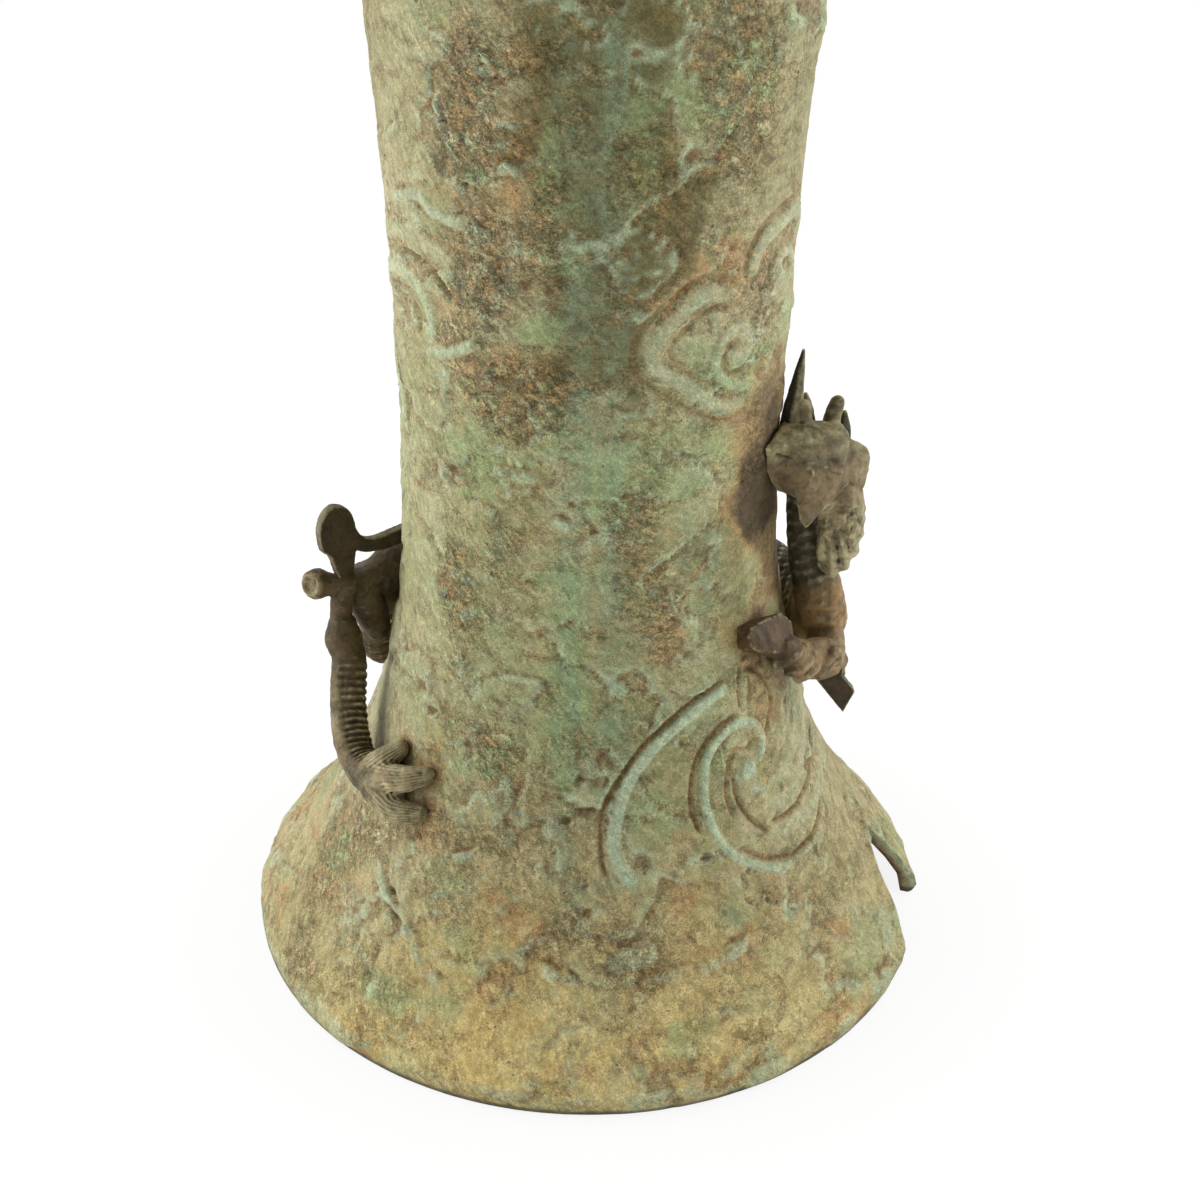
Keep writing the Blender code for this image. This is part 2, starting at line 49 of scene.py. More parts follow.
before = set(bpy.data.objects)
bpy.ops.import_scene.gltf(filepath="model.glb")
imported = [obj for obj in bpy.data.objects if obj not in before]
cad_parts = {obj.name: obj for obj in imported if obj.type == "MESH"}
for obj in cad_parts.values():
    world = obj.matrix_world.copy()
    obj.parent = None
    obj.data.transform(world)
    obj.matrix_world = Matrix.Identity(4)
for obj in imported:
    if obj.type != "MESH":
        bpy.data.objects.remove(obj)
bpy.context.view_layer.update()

MM = 0.001

# The trunk's turned profile
TRUNK_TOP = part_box("trunk")[1]
FOOT_RADIUS = TRUNK_TOP.x
TRUNK_HEIGHT = TRUNK_TOP.z
WAIST_RADIUS = 49.6 * MM
MOUTH_RADIUS = 55.8 * MM
TRUNK_WALL = 3.2 * MM
RIM_BAND = 5 * MM
FLARE_TOP = 165 * MM
FLARE_POWER = 3.07
EDGE_ROLL = 1.5 * MM
EDGE_ROLL_HEIGHT = 12 * MM
EDGE_ROLL_SPREAD = 4.5 * MM
SWELL_START = 150 * MM
FLOOR_HEIGHT = 78 * MM
LEDGE_WIDTH = 2.5 * MM
LEDGE_HEIGHT = 5 * MM
TRUNK_RINGS = 236
TRUNK_STEPS = 256
FRONT_AZIMUTH = -85
FRONT_CROWDING = 0.4
REFINE_REACH = 3.2 * MM
SKIN_DEPTH = 0.3 * MM

# Foot arches
ARCH_AZIMUTHS = (-18, 138)
ARCH_NEAR = -17.4
ARCH_FAR = 16.7
ARCH_HEIGHT = 23.5
# Lines along an arch's edge: (distance from it, half width, height)
ARCH_LINES = ((1.6, 1.6, 0.6), (4.1, 0.9, -0.7), (6, 1.3, 0.6))
ARCH_BORDER = 9 * MM
RAISED_LINE_DIRT = 0.25
SUNK_LINE_DIRT = 0.6

# Relief strokes: (half width, height) in millimetres, sunk where the height is negative
RIBBON = (2.2, 0.8)
NARROW_RIBBON = (1.7, 0.75)
GROOVE = (1.0, -0.9)
FINE_GROOVE = (0.85, -0.6)
FLUTE = (2.4, 0.4)
EYE = (3.2, 1.3)
SMALL_EYE = (2.4, 1.0)
LEDGE = (1.7, 1.0)

# Strokes are (kind, (azimuth, height) stations)
WAVE = (
    (RIBBON, ((-48.8, 87.8), (-57.2, 86.5), (-71.4, 79.4), (-80.3, 70.3), (-84.4, 57), (-82.7, 49.1),
              (-79, 44))),
    (GROOVE, ((-47.2, 90.1), (-58, 88.5), (-68.3, 84), (-77.5, 77), (-86.3, 64.6), (-87.2, 52.4),
              (-85.4, 46))),
    (NARROW_RIBBON, ((-38, 37.2), (-49.5, 40.7), (-58.8, 48.9), (-62, 60), (-59.6, 71.8), (-52, 76.8),
                     (-44.5, 76.4), (-40.4, 71.8), (-41.7, 67.3), (-46, 64.9))),
    (GROOVE, ((-47.3, 80.2), (-55.7, 77.8), (-62.6, 72), (-65.6, 62), (-64.4, 53.5))),
    (FINE_GROOVE, ((-52.7, 66), (-53.2, 61), (-52.3, 56.5), (-50, 52.2), (-46, 48))),
    (FINE_GROOVE, ((-43.6, 72.6), (-46.5, 69.8), (-50.6, 71), (-54, 68), (-55.8, 61), (-55, 54))),
    (GROOVE, ((-45.2, 91.7), (-36.5, 87), (-32.5, 80.8), (-33.2, 76.4), (-36.6, 72.3), (-38.6, 69.6))),
    (FINE_GROOVE, ((-45.4, 92.2), (-46.6, 86), (-46.2, 80.4))),
    (FINE_GROOVE, ((-42, 90.6), (-41.6, 86), (-43, 80))),
    (FLUTE, ((-14, 78), (-20, 68), (-28, 61.5), (-36, 58.6), (-42, 58.2))),
    (FLUTE, ((-10.5, 64.4), (-18.5, 60.4), (-27.5, 55.8), (-36.5, 53), (-45.2, 53.4))),
    (FLUTE, ((-8, 56.4), (-12.3, 50.6), (-19.2, 47.2), (-29.8, 45.4), (-40, 46.4), (-47, 48))),
    (FINE_GROOVE, ((-10, 60), (-18, 55), (-28, 50.8), (-38, 49.4), (-47, 50.6))),
    (FINE_GROOVE, ((-24, 44.4), (-32, 41), (-42, 40.6), (-50, 43.6), (-56, 49))),
    (EYE, ((-47.6, 64.9), (-49.2, 64.7))),
)
CLOUD = (
    (GROOVE, ((-47.6, 188.8), (-60.2, 191), (-69.3, 187), (-77.8, 180.2), (-79.6, 173.4), (-76, 168.6),
              (-67.7, 163.8), (-58, 158.8), (-47.9, 156.8), (-38, 156.4))),
    (RIBBON, ((-46.8, 184.8), (-58.8, 187), (-66.4, 183.6), (-72.6, 178.6), (-74.4, 174),
              (-71.6, 170.4), (-65, 167.2), (-57, 162.2), (-48.6, 160.3), (-40, 160))),
    (FINE_GROOVE, ((-48, 182), (-58, 184), (-65.4, 180), (-69.6, 175.6), (-67.6, 172), (-61, 168.4),
                   (-54, 164.6))),
    (NARROW_RIBBON, ((-38, 166), (-45, 164.6), (-52, 166.4), (-55.6, 171), (-53, 176.6), (-47.8, 178.8),
                     (-43.8, 176.4), (-43.6, 172.6), (-46.2, 170.8))),
    (FINE_GROOVE, ((-40, 168.6), (-46, 167.2), (-51, 168.8), (-52.6, 171.9), (-50.6, 175), (-47, 175.6))),
    (SMALL_EYE, ((-46.8, 171), (-48.6, 170.8))),
    (GROOVE, ((-47.6, 188.8), (-46.9, 192.7), (-43.8, 197.8), (-38.5, 201.3), (-29.9, 204), (-20, 206),
              (-9, 203), (-3, 195), (-5, 186), (-14, 180))),
    (RIBBON, ((-44, 188), (-43.4, 192.6), (-40.8, 196.2), (-36, 198.6), (-28, 200.8), (-20, 201.6),
              (-11.5, 199), (-8, 193))),
    (FINE_GROOVE, ((-36, 186.4), (-36, 190.6), (-33, 194), (-27, 195.9), (-20, 195), (-15, 190.6),
                   (-13, 185))),
    (NARROW_RIBBON, ((-18, 183), (-17.6, 188.4), (-21.4, 192.4), (-27.4, 193), (-31, 190.4),
                     (-30.6, 187.6))),
    (SMALL_EYE, ((-29, 187.6), (-30.4, 188.1))),
)
STREAMERS = (
    (LEDGE, ((-156.7, 204.2), (-143.3, 205.9), (-137, 205.8), (-133.3, 203.2), (-127.3, 201.9),
             (-120.9, 201))),
    (FLUTE, ((-178, 195), (-160.8, 196.8), (-145.4, 197.1), (-137.9, 196.1), (-132, 193.8),
             (-127, 191.5))),
    (FINE_GROOVE, ((-176, 191), (-160, 193), (-146, 193), (-137.6, 191.4), (-131, 188), (-127, 184))),
    (RIBBON, ((-174, 186), (-161.1, 188.3), (-147.6, 188), (-140, 184), (-137, 178.4), (-139.4, 173.4))),
    (FINE_GROOVE, ((-170, 182.6), (-160, 184.4), (-149, 184.4), (-144, 181), (-142.4, 177), (-145, 174))),
    (LEDGE, ((-141, 171.3), (-129.8, 172.4), (-121, 175.8))),
    (RIBBON, ((-170, 168), (-164, 161.2), (-159.4, 155.4), (-161, 147.4))),
    (GROOVE, ((-166, 168.6), (-160.4, 162.4), (-155.6, 155.6), (-156.8, 147))),
)
# Drawings on the trunk: (turns about it, strokes, depth, green on what is raised, dirt in what is sunk)
DRAWINGS = (
    ((0, 156), WAVE, 1.0, 0.95, 0.9),
    ((0, 187), CLOUD, 0.7, 0.4, 0.5),
    ((0,), STREAMERS, 0.9, 0.6, 0.5),
)
FLUTE_GREEN = 0.3

# Ledges that the mould left in the skin, seen ones only: (azimuth, height) stations
SCARS = (
    ((-119.6, 236.7), (-112.6, 233.4), (-107, 233)),
    ((-131.6, 231.6), (-127, 223), (-121.6, 212)),
    ((-105.2, 213.6), (-112, 212.6), (-114, 205)),
    ((-106.4, 225.4), (-101.4, 223), (-101.2, 218.4)),
    ((-118, 146.8), (-109.8, 145.6), (-103.4, 145.4)),
    ((-100.6, 136), (-97.6, 134.8), (-94.4, 134.4)),
    ((-129.6, 105.6), (-124.6, 108.8), (-121.2, 112)),
    ((-141.4, 40), (-134, 34.4), (-126.6, 29.4), (-117.6, 22.4), (-114.4, 19.6)),
    ((-124, 46.4), (-119.4, 47.4), (-114.4, 50)),
    ((-100.2, 28.6), (-95.6, 27.4), (-90.6, 26)),
    ((-71.6, 25), (-64.6, 27.4), (-57, 28.2)),
    ((-56.4, 36), (-50.4, 34), (-48.8, 28)),
    ((-82.4, 24.4), (-80.2, 20.6), (-84.8, 18.6)),
    ((-73.4, 113.6), (-69.4, 111.6), (-65.2, 114)),
)
# Each ledge is a raised line with a sunk line SCAR_STEP above it; the sunk line is really cut into the skin,
# and its brown is a painted shadow of the ledge
SCAR_LEDGE = (2, 0.8)
SCAR_SHADOW = (0.8, -0.6)
SCAR_STEP = 1.7
SCAR_GREEN = 0.8
SCAR_TAPER = 0.3
SCAR_WEAR_SIZE = 7 * MM
# Broken steps all over the skin: (size, stretch, seed)
SKIN_STEPS = ((30 * MM, (1, 1, 1.5), 3), (22 * MM, (1, 1, 2.2), 8))
STEP_LEVEL = 0.1

# Blotches seen in the skin: (azimuth, height, reach in degrees, half height in millimetres, strength)
ROUGH_PATCHES = (
    (-120, 226, 9, 26, 1.0),
    (-119, 192, 11, 22, 1.0),
    (-112, 162, 18, 15, 1.0),
    (-52, 222, 16, 24, 0.9),
    (-76, 212, 14, 12, 0.7),
    (-131, 116, 8, 13, 1.0),
    (-70, 107, 10, 14, 0.9),
    (-113, 76, 9, 15, 1.0),
    (-118, 40, 14, 12, 0.5),
    (-66, 24, 14, 8, 0.2),
)
# The large patches over the upper front centre, near azimuth -85, are painted shade where the side light
# falls off; the others are dark patina blotches
DARK_AND_SHADE_PATCHES = (
    (-84, 212, 24, 60, 1.2),
    (-50, 114, 15, 24, 0.75),
    (-86, 233, 30, 32, 1.0),
    (-55, 238, 20, 14, 0.8),
    (-84, 208, 16, 18, 0.8),
    (-91, 182, 13, 20, 0.6),
    (-38, 144, 6, 12, 1.0),
    (-58, 178, 9, 11, 0.4),
)
GREEN_PATCHES = (
    (-87, 141, 10, 13, 0.9),
    (-95, 84, 6, 44, 1.0),
    (-100, 212, 5, 12, 0.7),
    (-78, 215, 8, 20, 0.6),
    (-63, 149, 9, 8, 0.6),
    (-80, 118, 8, 12, 0.6),
    (-74, 60, 12, 13, 0.7),
    (-122, 43, 8, 5, 0.7),
    (-128, 66, 6, 8, 0.6),
    (-93, 42, 8, 10, 0.7),
    (-36, 13, 12, 7, 0.6),
)
RUST_PATCHES = (
    (-118, 206, 10, 24, 0.7),
    (-112, 165, 16, 14, 0.6),
    (-98, 190, 8, 22, 0.5),
    (-53, 157, 9, 9, 0.8),
    (-46, 112, 9, 18, 0.9),
    (-36, 82, 11, 12, 0.6),
    (-114, 72, 8, 12, 0.9),
    (-70, 108, 8, 9, 0.8),
    (-133, 116, 6, 9, 0.7),
    (-129, 50, 9, 5, 0.9),
    (-104, 36, 12, 9, 0.9),
    (-111, 23, 14, 7, 0.9),
    (-83, 40, 13, 9, 0.5),
    (-61, 29, 14, 7, 1.0),
    (-60, 52, 8, 8, 0.5),
)
BLOTCH_SIZE = 26 * MM
# Staining that has spread from the dragon, partly painted shade where it meets the trunk, and how far it
# reaches from the casting itself
STAIN_AND_SHADE_REACH = 2.6 * MM
NEAR_STAIN_AND_SHADE_PATCHES = (
    (-28, 139, 27, 21, 1.1),
    (-34, 154, 24, 15, 0.75),
    (-20, 116, 22, 24, 0.85),
    (-34, 96, 14, 11, 0.95),
    (-30, 82, 14, 14, 0.45),
    (-125, 51, 7, 6, 0.4),
)
# Where the skin is smooth and even, laid out as the blotches are
CALM_PATCHES = (
    (-150, 216, 17, 42, 0.9),
    (-146, 112, 14, 44, 0.9),
    (-62, 96, 12, 18, 0.6),
    (-24, 60, 26, 34, 0.7),
    (150, 200, 20, 40, 0.8),
    (70, 60, 24, 40, 0.6),
)
# Colours that lie in blotches: (mark, seen ones, seed, share of those scattered all round)
BLOTCHES = (("dark", DARK_AND_SHADE_PATCHES, 1, 0.3), ("green", GREEN_PATCHES, 2, 0.8), ("rust", RUST_PATCHES, 3, 0.8))
# Streaks of verdigris run down the trunk: (azimuth, spread, strength)
STREAKS = (
    (-94, 5, 0.6), (-85, 6, 0.6), (-60, 6, 0.3), (-117, 5, 0.3), (40, 6, 0.5), (96, 5, 0.5),
    (150, 6, 0.4),
)

# Dish and liner; blotches are (mark, seed, share of the scattered ones, share all over)
DISH_BLOTCHES = (("rough", 0, 0.6, 0), ("dark", 1, 0.9, 0.55), ("green", 2, 0.6, 0), ("rust", 3, 0.9, 0.1))
DISH_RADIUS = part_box("dish")[1].x
DISH_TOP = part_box("dish")[1].z
DISH_LIP = 2 * MM
DISH_STEPS = 240
EDGE_ROUND = 0.6 * MM
LIP_HEIGHT = 9 * MM
DISH_WALL = 3.5 * MM
SPIGOT_DEPTH = 25 * MM
SPIGOT_WALL = 3.5 * MM
SPIGOT_PLAY = 0.4 * MM
SEAT_RISE = 14 * MM
GAP = 0.3 * MM
LINER_LOW, LINER_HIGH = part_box("liner_cup")
LINER_RADIUS = 42.5 * MM
LINER_WALL = 1.2 * MM
LINER_FLANGE = 52 * MM
LINER_STEPS = 128
LINER_ROUND = 1.6 * MM

LIMB_STEPS = 12
FREE_STEPS = 8
BEARD_SIDES = 48
# Rings along a limb's domed end: (rise, radius), both as shares of the limb's radius
DOME = ((0.45, 0.89), (0.8, 0.6), (0.97, 0.25))
# Scales of the body and the tail: (pitch, count round it); rings of the neck and the forearms: pitch
BODY_SCALES = (4.4 * MM, 13)
TAIL_SCALES = (3.6 * MM, 11)
NECK_RIB = 3.3 * MM
WIDE_RIB = 2.7 * MM
CLOSE_RIB = 1.5 * MM
# Dragon: stations are (azimuth, height, distance out from the trunk, radius)
BODY = (
    (-5, 132, 7.6, 5),
    (-4, 121, 7.6, 5),
    (-6, 110, 8.4, 5.6),
    (-7, 100, 10.5, 6.8),
    (-6, 90, 10.5, 7.4),
    (12, 86, 10, 8.4),
    (35, 88, 9, 9),
    (60, 93, 8.6, 9.2),
    (90, 96, 8.6, 9.4),
    (118, 91, 8.8, 9.4),
    (140, 83, 9.8, 9.4),
    (156, 77, 10.8, 8.6),
)
TAIL = (
    (145, 89, 9.4, 7.4),
    (138, 102, 8.2, 7),
    (118, 113, 6.6, 6.4),
    (96, 121, 5.6, 5.8),
    (76, 132, 5, 5.2),
    (64, 148, 4.6, 4.6),
    (68, 164, 4.2, 4),
    (84, 175, 3.8, 3.4),
    (100, 184, 3.4, 2.8),
    (106, 196, 3, 2),
)
HIND_LIMB = (
    (157, 82, 10.5, 7.6),
    (166, 90, 10, 7.2),
    (176, 95, 11.5, 5.6),
    (185, 98, 15, 3.5),
    (186.5, 90.5, 15.4, 3.1),
    (188, 84, 13.7, 3.4),
)
HIND_FOREARM = (
    (188, 84, 13.4, 4.6),
    (191, 78, 11, 4.9),
    (196, 70, 9.8, 5),
    (202, 62.5, 8, 5),
    (209, 57.5, 5.5, 5),
    (219, 57.5, 4, 5.6),
)
HIDDEN_FOREARM = (
    (195, 78, 10.5, 5),
    (191.5, 70, 10, 6),
    (194, 62.5, 8.6, 5.8),
    (202, 58, 7, 5.2),
    *HIND_FOREARM[-2:],
)
HIND_TOES = (
    ((213, 59, 5, 4.2), (216, 63.5, 4.5, 3.4), (217.5, 66, 2, 2.3)),
    ((217, 59, 5, 4.4), (224, 62, 4.4, 3.5), (228.6, 64, 1.8, 2.2)),
    ((216, 56, 5, 4.4), (224, 54, 4.2, 3.6), (229.6, 54.6, 1.8, 2.2)),
)
HIND_SPUR = ((185, 99, 14.5, 2.6), (185.4, 99.4, 18.6, 3), (185.6, 99.8, 22.4, 4.3), (185.6, 99.9, 22.9, 4.3))
HIND_HIP = ((-66, -3, 97, 4), (-61, 4, 96.5, 5.8), (-55, 12, 98, 7), (-50, 18, 96, 7))
HIND_WEB = ((-64, -0.5, 93, 5), (-62.6, 1.5, 86.5, 5), (-61.6, 3.5, 80.5, 3.6))
KNOB_FACING = (-0.45, -0.87, 0.2)
HIND_CUFF = ((187.2, 87.5, 14.6, 4.2), (187.8, 84.8, 14, 5.2), (188.4, 82.6, 13.2, 5.2))
KNOB_HOLLOW = 3.4 * MM
KNOB_DEPTH = 1.5 * MM
TOE_LINES = 22
TOE_LINE_DEPTH = 0.16 * MM
FORE_ARM = ((-7, 91, 10.5, 5), (-11, 87, 11.6, 5.2), (-15.5, 84.5, 12.2, 4.6))
# The gripping paw: a block on the trunk and folds of skin, (right, back, up) and a radius in millimetres
FORE_BLOCK = (
    (40.5, -40, 103.4), (39.6, -42, 101.9), (41.6, -42, 97.9), (48.1, -38, 95.4), (49.5, -30, 102.9),
    (53.3, -26, 98.4), (54.3, -25, 93.8), (44.5, -36, 103.7), (36, -36, 102), (37, -37, 96),
    (44, -28, 100), (46, -25, 94), (51, -32, 89.5),
)
FORE_FOLDS = (
    ((50, -31, 92.5, 4.4), (57, -26, 88, 4.6), (63, -21, 86, 5)),
    ((55, -26.5, 85.6, 3.4), (63, -21, 82.6, 4), (68, -16, 81.6, 3.6)),
    ((52.6, -32, 86.4, 1.5), (55.4, -31.4, 87.4, 1.9), (59, -28.6, 90, 1.5)),
    ((55.4, -30, 83.4, 1.5), (58.6, -29, 85, 1.8), (61.4, -26.6, 88, 1.4)),
    ((48.6, -35.2, 90.8, 1.8), (52, -33.6, 91.8, 2), (56.4, -29.6, 92.4, 1.5)),
    ((61.8, -26, 82, 1.3), (63, -26.6, 86.4, 1.6), (65.8, -24.4, 88.4, 1.6), (67.8, -21.4, 84, 1.3)),
    ((68.4, -19.6, 83.4, 1.3), (69.6, -17.8, 78.4, 1.3)),
)
# How a leg's azimuths are laid out: (1 or -1 to mirror it, then a turn)
AS_DRAWN = (1, 0)
HIND_MIRROR = (-1, 351)
FORE_TURN = (1, -168)

# The head's own frame: across its brow, back into its nape and up
HEAD_PLACE = (-16.4, 141, 10.9)
HEAD_HEADING = 28
HEAD_POINT = 1.3
BEARD_RINGS = (
    (-7, 7.5, 5.6, 0.5, 4),
    (-12, 7.6, 7.6, -0.5, 5),
    (-19, 8.6, 7.2, -1.3, 5.5),
    (-26, 8.2, 6.4, -1.3, 5.3),
    (-31, 7.4, 4.6, -1, 4.3),
    (-34, 6.8, 2, -0.5, 2.4),
)
# Stubs on the crown: (across, back, up, radius) from root to tip
EARS = (
    ((-1.5, 5.5, 6, 2.4), (-1.8, 5.4, 10, 2.3), (-2.2, 5.2, 12, 2)),
    ((7, 5.2, 5, 2.2), (7.5, 5, 9, 2.2), (8.2, 4.6, 11.8, 2)),
    ((2.4, 8, 5, 1.9), (1.8, 8.2, 9, 1.6), (0.9, 8.6, 14, 0.7)),
)
# The head's blocks: corner points round its middle in millimetres, (right, back, up) as the camera sees it
BROW_BLOCK = (
    (-15.4, -9.2, 4.9), (-14, -7, 5.9), (-10.9, -3, 8.1), (-2, -1, 7.7), (7.1, 1.2, 6.4),
    (7.8, 0.5, 4.5), (-8.8, -9, 2.6), (-3.6, -8.6, 0.9), (5.6, -4, -3.3), (-9.4, 2.5, 8.5),
    (-1.1, 4.5, 8.2), (5.9, 6, 7.4), (-9, 4, 3), (0, 9, 4), (6, 9, 0),
)
FACE_BLOCK = (
    (-15, -8.8, 4.6), (-14.3, -7.4, -1.4), (-12.7, -7, -4.7), (-11, -6.6, -7.3), (-7.7, -7, -7.7),
    (-5.7, -7.6, -8.6), (8.6, -0.5, -6.7), (-8.6, -8.4, 3), (-3.5, -7.9, 1.4), (6, -3.2, -3),
    (-11, 2, 3), (-8, 2, -6), (7, 7, -2), (5, 6, -8),
)
SNOUT_BLOCK = (
    (-8.5, -8.6, 1.6), (-3.5, -8.2, 0.2), (4.6, -4.2, -3.8), (-6.2, -8.6, -8), (-5.3, -10, -14.4),
    (-3.9, -10.2, -16.2), (-2.2, -9.4, -14.6), (8.4, -1.2, -6.8), (-4.4, -9.9, -6.4), (2, -2, -8),
    (-1, -5, -13), (6, 2, -6),
)
CHEEK_BLOCK = (
    (6.5, 1.3, 5), (11.1, 4, 2.6), (13.6, 5, 0.7), (14.6, 5, -1.8), (14.4, 4.6, -4.9), (13.5, 4, -10),
    (12, 3, -10), (10, 0.6, -7.5), (6, -2.6, -4.2), (4, 8, 3), (9, 9, -2), (8, 8, -8), (3, 2, -5),
)
MUZZLE_BLOCK = (
    (-13, -7.9, 2.6), (-12, -7.4, -3), (-8.4, -7.4, -7.5), (-5.6, -9.2, -8.8), (-4.4, -9.9, -6.4),
    (-2, -9, -1), (-8.5, -8.6, 2.4), (-6, -3, -4),
)
HEAD_BLOCKS = (BROW_BLOCK, FACE_BLOCK, SNOUT_BLOCK, MUZZLE_BLOCK, CHEEK_BLOCK)
EYE_RADIUS = 2.2 * MM
EYE_DEPTH = 0.4 * MM
EYES = ((0.4, -6.6, -3.1), (10.4, 1, -2.6))
BEARD_ROOT = (2, -6)
BEARD_FLUTES = 40
BROW_TIP = (-13.5, -8.4, 5)
BROW_LINE = ((-13.5, 3.8), (-8, 2.3), (-2, 2.1), (4, 0.2))
LONG_HORN = ((-4.6, 7, 4.5, 3.3), (-4.1, 7, 11, 2.8), (-3, 7.2, 18.5, 1.8), (-1.7, 7.6, 25.8, 0.6))
SHORT_HORN = ((12.2, 5.8, 1, 2.3), (12.6, 6.2, 4, 2), (12.6, 6.6, 8, 0.8))

# Flames: flat castings in upright planes, (along, height) outlines
FLAME_THICKNESS = 3.2 * MM
HIND_FLAME_PLACE = (185, 98, 16.7)
HIND_FLAME_TURN = -147
FORE_FLAME_PLACE = (-15.4, 84.5, 15.4)
FORE_FLAME_TURN = 15

DRAGON_NODES = (
    "dragon_body",
    "dragon_tail",
    "dragon_head",
    "foreleg_right",
    "foreleg_left",
    "hindleg_left",
    "hindleg_right",
)
SEAT_DEPTH = 1.2 * MM

# Heights between which the trunk's colours come or go, and the reach toward its front and back
FOOT_FADE = (25 * MM, 85 * MM)
FRONT_RISE = (50 * MM, 95 * MM)
# Painted shade: between these heights the upper trunk darkens toward the top
PAINTED_SHADE_RISE = (140 * MM, 230 * MM)
BELT_RISE = (45 * MM, 80 * MM)
BELT_FADE = (150 * MM, 200 * MM)
RIM_FADE = (1.2 * MM, 2.8 * MM)
# Noise scales of the finishes
GRAIN_SCALE = 640
SCRATCH_SCALE = 800
PIT_SCALE = 900
FLAKE_SCALE = 210
BROAD_SCALE = 30
MIDDLE_SCALE = 170
FINE_SCALE = 720
BLOT_SCALE = 85
BORDER_SCALE = 330
SPREAD_SCALE = 48
SPECK_SCALE = 700
RUN_SCALE = 130
DUST_SCALE = 2300
WORN_SCALE = 240
DRAWN_LINE_SCALE = 60

# Lamps: (name, place, share of the side light)
SIDE_LAMPS = (("left_lamp", (-1.0, 0.1, 0.5), 0.97), ("right_lamp", (1.0, 0.15, 0.5), 0.74))
SIDE_LAMP_SIZE = 0.9
TOP_LAMP_PLACE = (0.0, 0.05, 2.2)
TOP_LAMP_SIZE = 1.4
LAMP_AIM = (0, 0, 0.14)
FLOOR_SIZE = 30
FLOOR_COLOUR = (0.86, 0.855, 0.84, 1)
SENSOR_WIDTH = 36

# The photograph's camera
CAMERA_PLACE = (0, -0.31594, 0.24276)
CAMERA_RIGHT = (0.99994831, -0.00463318, 0.00905079)
CAMERA_UP = (-0.00616909, 0.4311274, 0.90226998)
CAMERA_BACK = (-0.00808243, -0.90227917, 0.43107653)


# Sizes and colours that a user would change


def colour(name, description, default):
    return FloatVectorProperty(
        name=name, description=description, subtype="COLOR", size=3, min=0, max=1, default=default
    )


def length(name, description, default):
    return FloatProperty(name=name, description=description, subtype="DISTANCE", default=default)


class UsubataPatina(bpy.types.PropertyGroup):
    """Colours of the trunk's and dish's patina."""

    khaki: colour("Khaki", "Pale khaki that most of the trunk has", (0.365, 0.34, 0.2))
    olive: colour("Olive", "Deeper olive between the khaki", (0.245, 0.238, 0.108))
    straw: colour("Straw", "Pale straw colour of the foot", (0.59, 0.49, 0.222))
    ochre: colour("Ochre", "Deeper ochre of the foot", (0.49, 0.365, 0.136))
    russet: colour("Russet", "Reddish brown where the skin is rough", (0.4, 0.235, 0.1))
    moss: colour("Moss", "Thin green over the khaki", (0.245, 0.33, 0.15))
    teal: colour("Teal", "Green that has run down the trunk", (0.19, 0.3, 0.2))
    verdigris: colour("Verdigris", "Pale green on raised work", (0.38, 0.46, 0.31))
    # Besides dark patina blotches, this colour is painted shade over the upper trunk and the dish toward the
    # top and over the upper front centre, where the side light falls off
    shade: colour("Shade", "Dark olive brown of the upper trunk", (0.085, 0.07, 0.019))
    umber: colour("Umber", "Brown in lines and hollows", (0.14, 0.088, 0.036))
    # Partly real staining and partly painted shade where the dragon meets the trunk; it also darkens the
    # wall's inside and the bottom edge of the foot
    stain_and_shade: colour("Stain", "Dark stain where the dragon touches the trunk", (0.07, 0.05, 0.027))


class UsubataDragon(bpy.types.PropertyGroup):
    """Colours and modelling of the dragon."""

    bronze: colour("Bronze", "Dark bronze of the dragon", (0.014, 0.0145, 0.0095))
    brown: colour("Brown", "Brown bronze between the dark", (0.027, 0.0265, 0.016))
    warm: colour("Warm", "Warm brown of the chest and the gripping paw", (0.34, 0.19, 0.078))
    olive: colour("Olive", "Olive patina on the brow and beard", (0.195, 0.178, 0.085))
    rubbed: colour("Rubbed", "Pale metal on toes, crown and rubbed edges", (0.47, 0.425, 0.255))
    grime: colour("Grime", "Dirt in the cuts between ribs and folds", (0.024, 0.018, 0.011))
    rib_depth: length("Rib depth", "Depth of the rings round the limbs", 0.55 * MM)
    scale_height: length("Scale height", "Height of the body's scales", 0.7 * MM)
    fineness: length("Fineness", "Mesh size of the modelled castings", 0.5 * MM)


class UsubataTrunk(bpy.types.PropertyGroup):
    """Relief of the trunk."""

    relief: FloatProperty(name="Relief", description="Height of the drawn relief", min=0, default=1.0)
    scars: FloatProperty(
        name="Scars", description="Height of the ledges seen in the skin", min=0, default=1.0
    )
    step_height: length("Steps", "Height of the broken steps all over the skin", 0.6 * MM)
    roughness: length("Cast skin", "Depth of the rough casting skin", 0.42 * MM)


class UsubataLiner(bpy.types.PropertyGroup):
    """Colours of the copper liner."""

    deep: colour("Deep", "Dark copper", (0.2, 0.085, 0.045))
    pale: colour("Pale", "Clean copper between the dark", (0.5, 0.24, 0.13))
    tarnish: colour("Tarnish", "Greenish grey tarnish in patches", (0.16, 0.2, 0.14))


class UsubataStage(bpy.types.PropertyGroup):
    """Studio round the vase."""

    lens: FloatProperty(name="Lens", description="Camera lens for a 36 mm sensor", default=36.9)
    ambient: FloatProperty(name="Ambient", description="Even light from all round", min=0, default=0.33)
    side_light: FloatProperty(
        name="Side light", description="Power of each side lamp", subtype="POWER", default=10.5
    )
    top_light: FloatProperty(
        name="Top light", description="Power of the top lamp", subtype="POWER", default=78.0
    )


# Places on the trunk


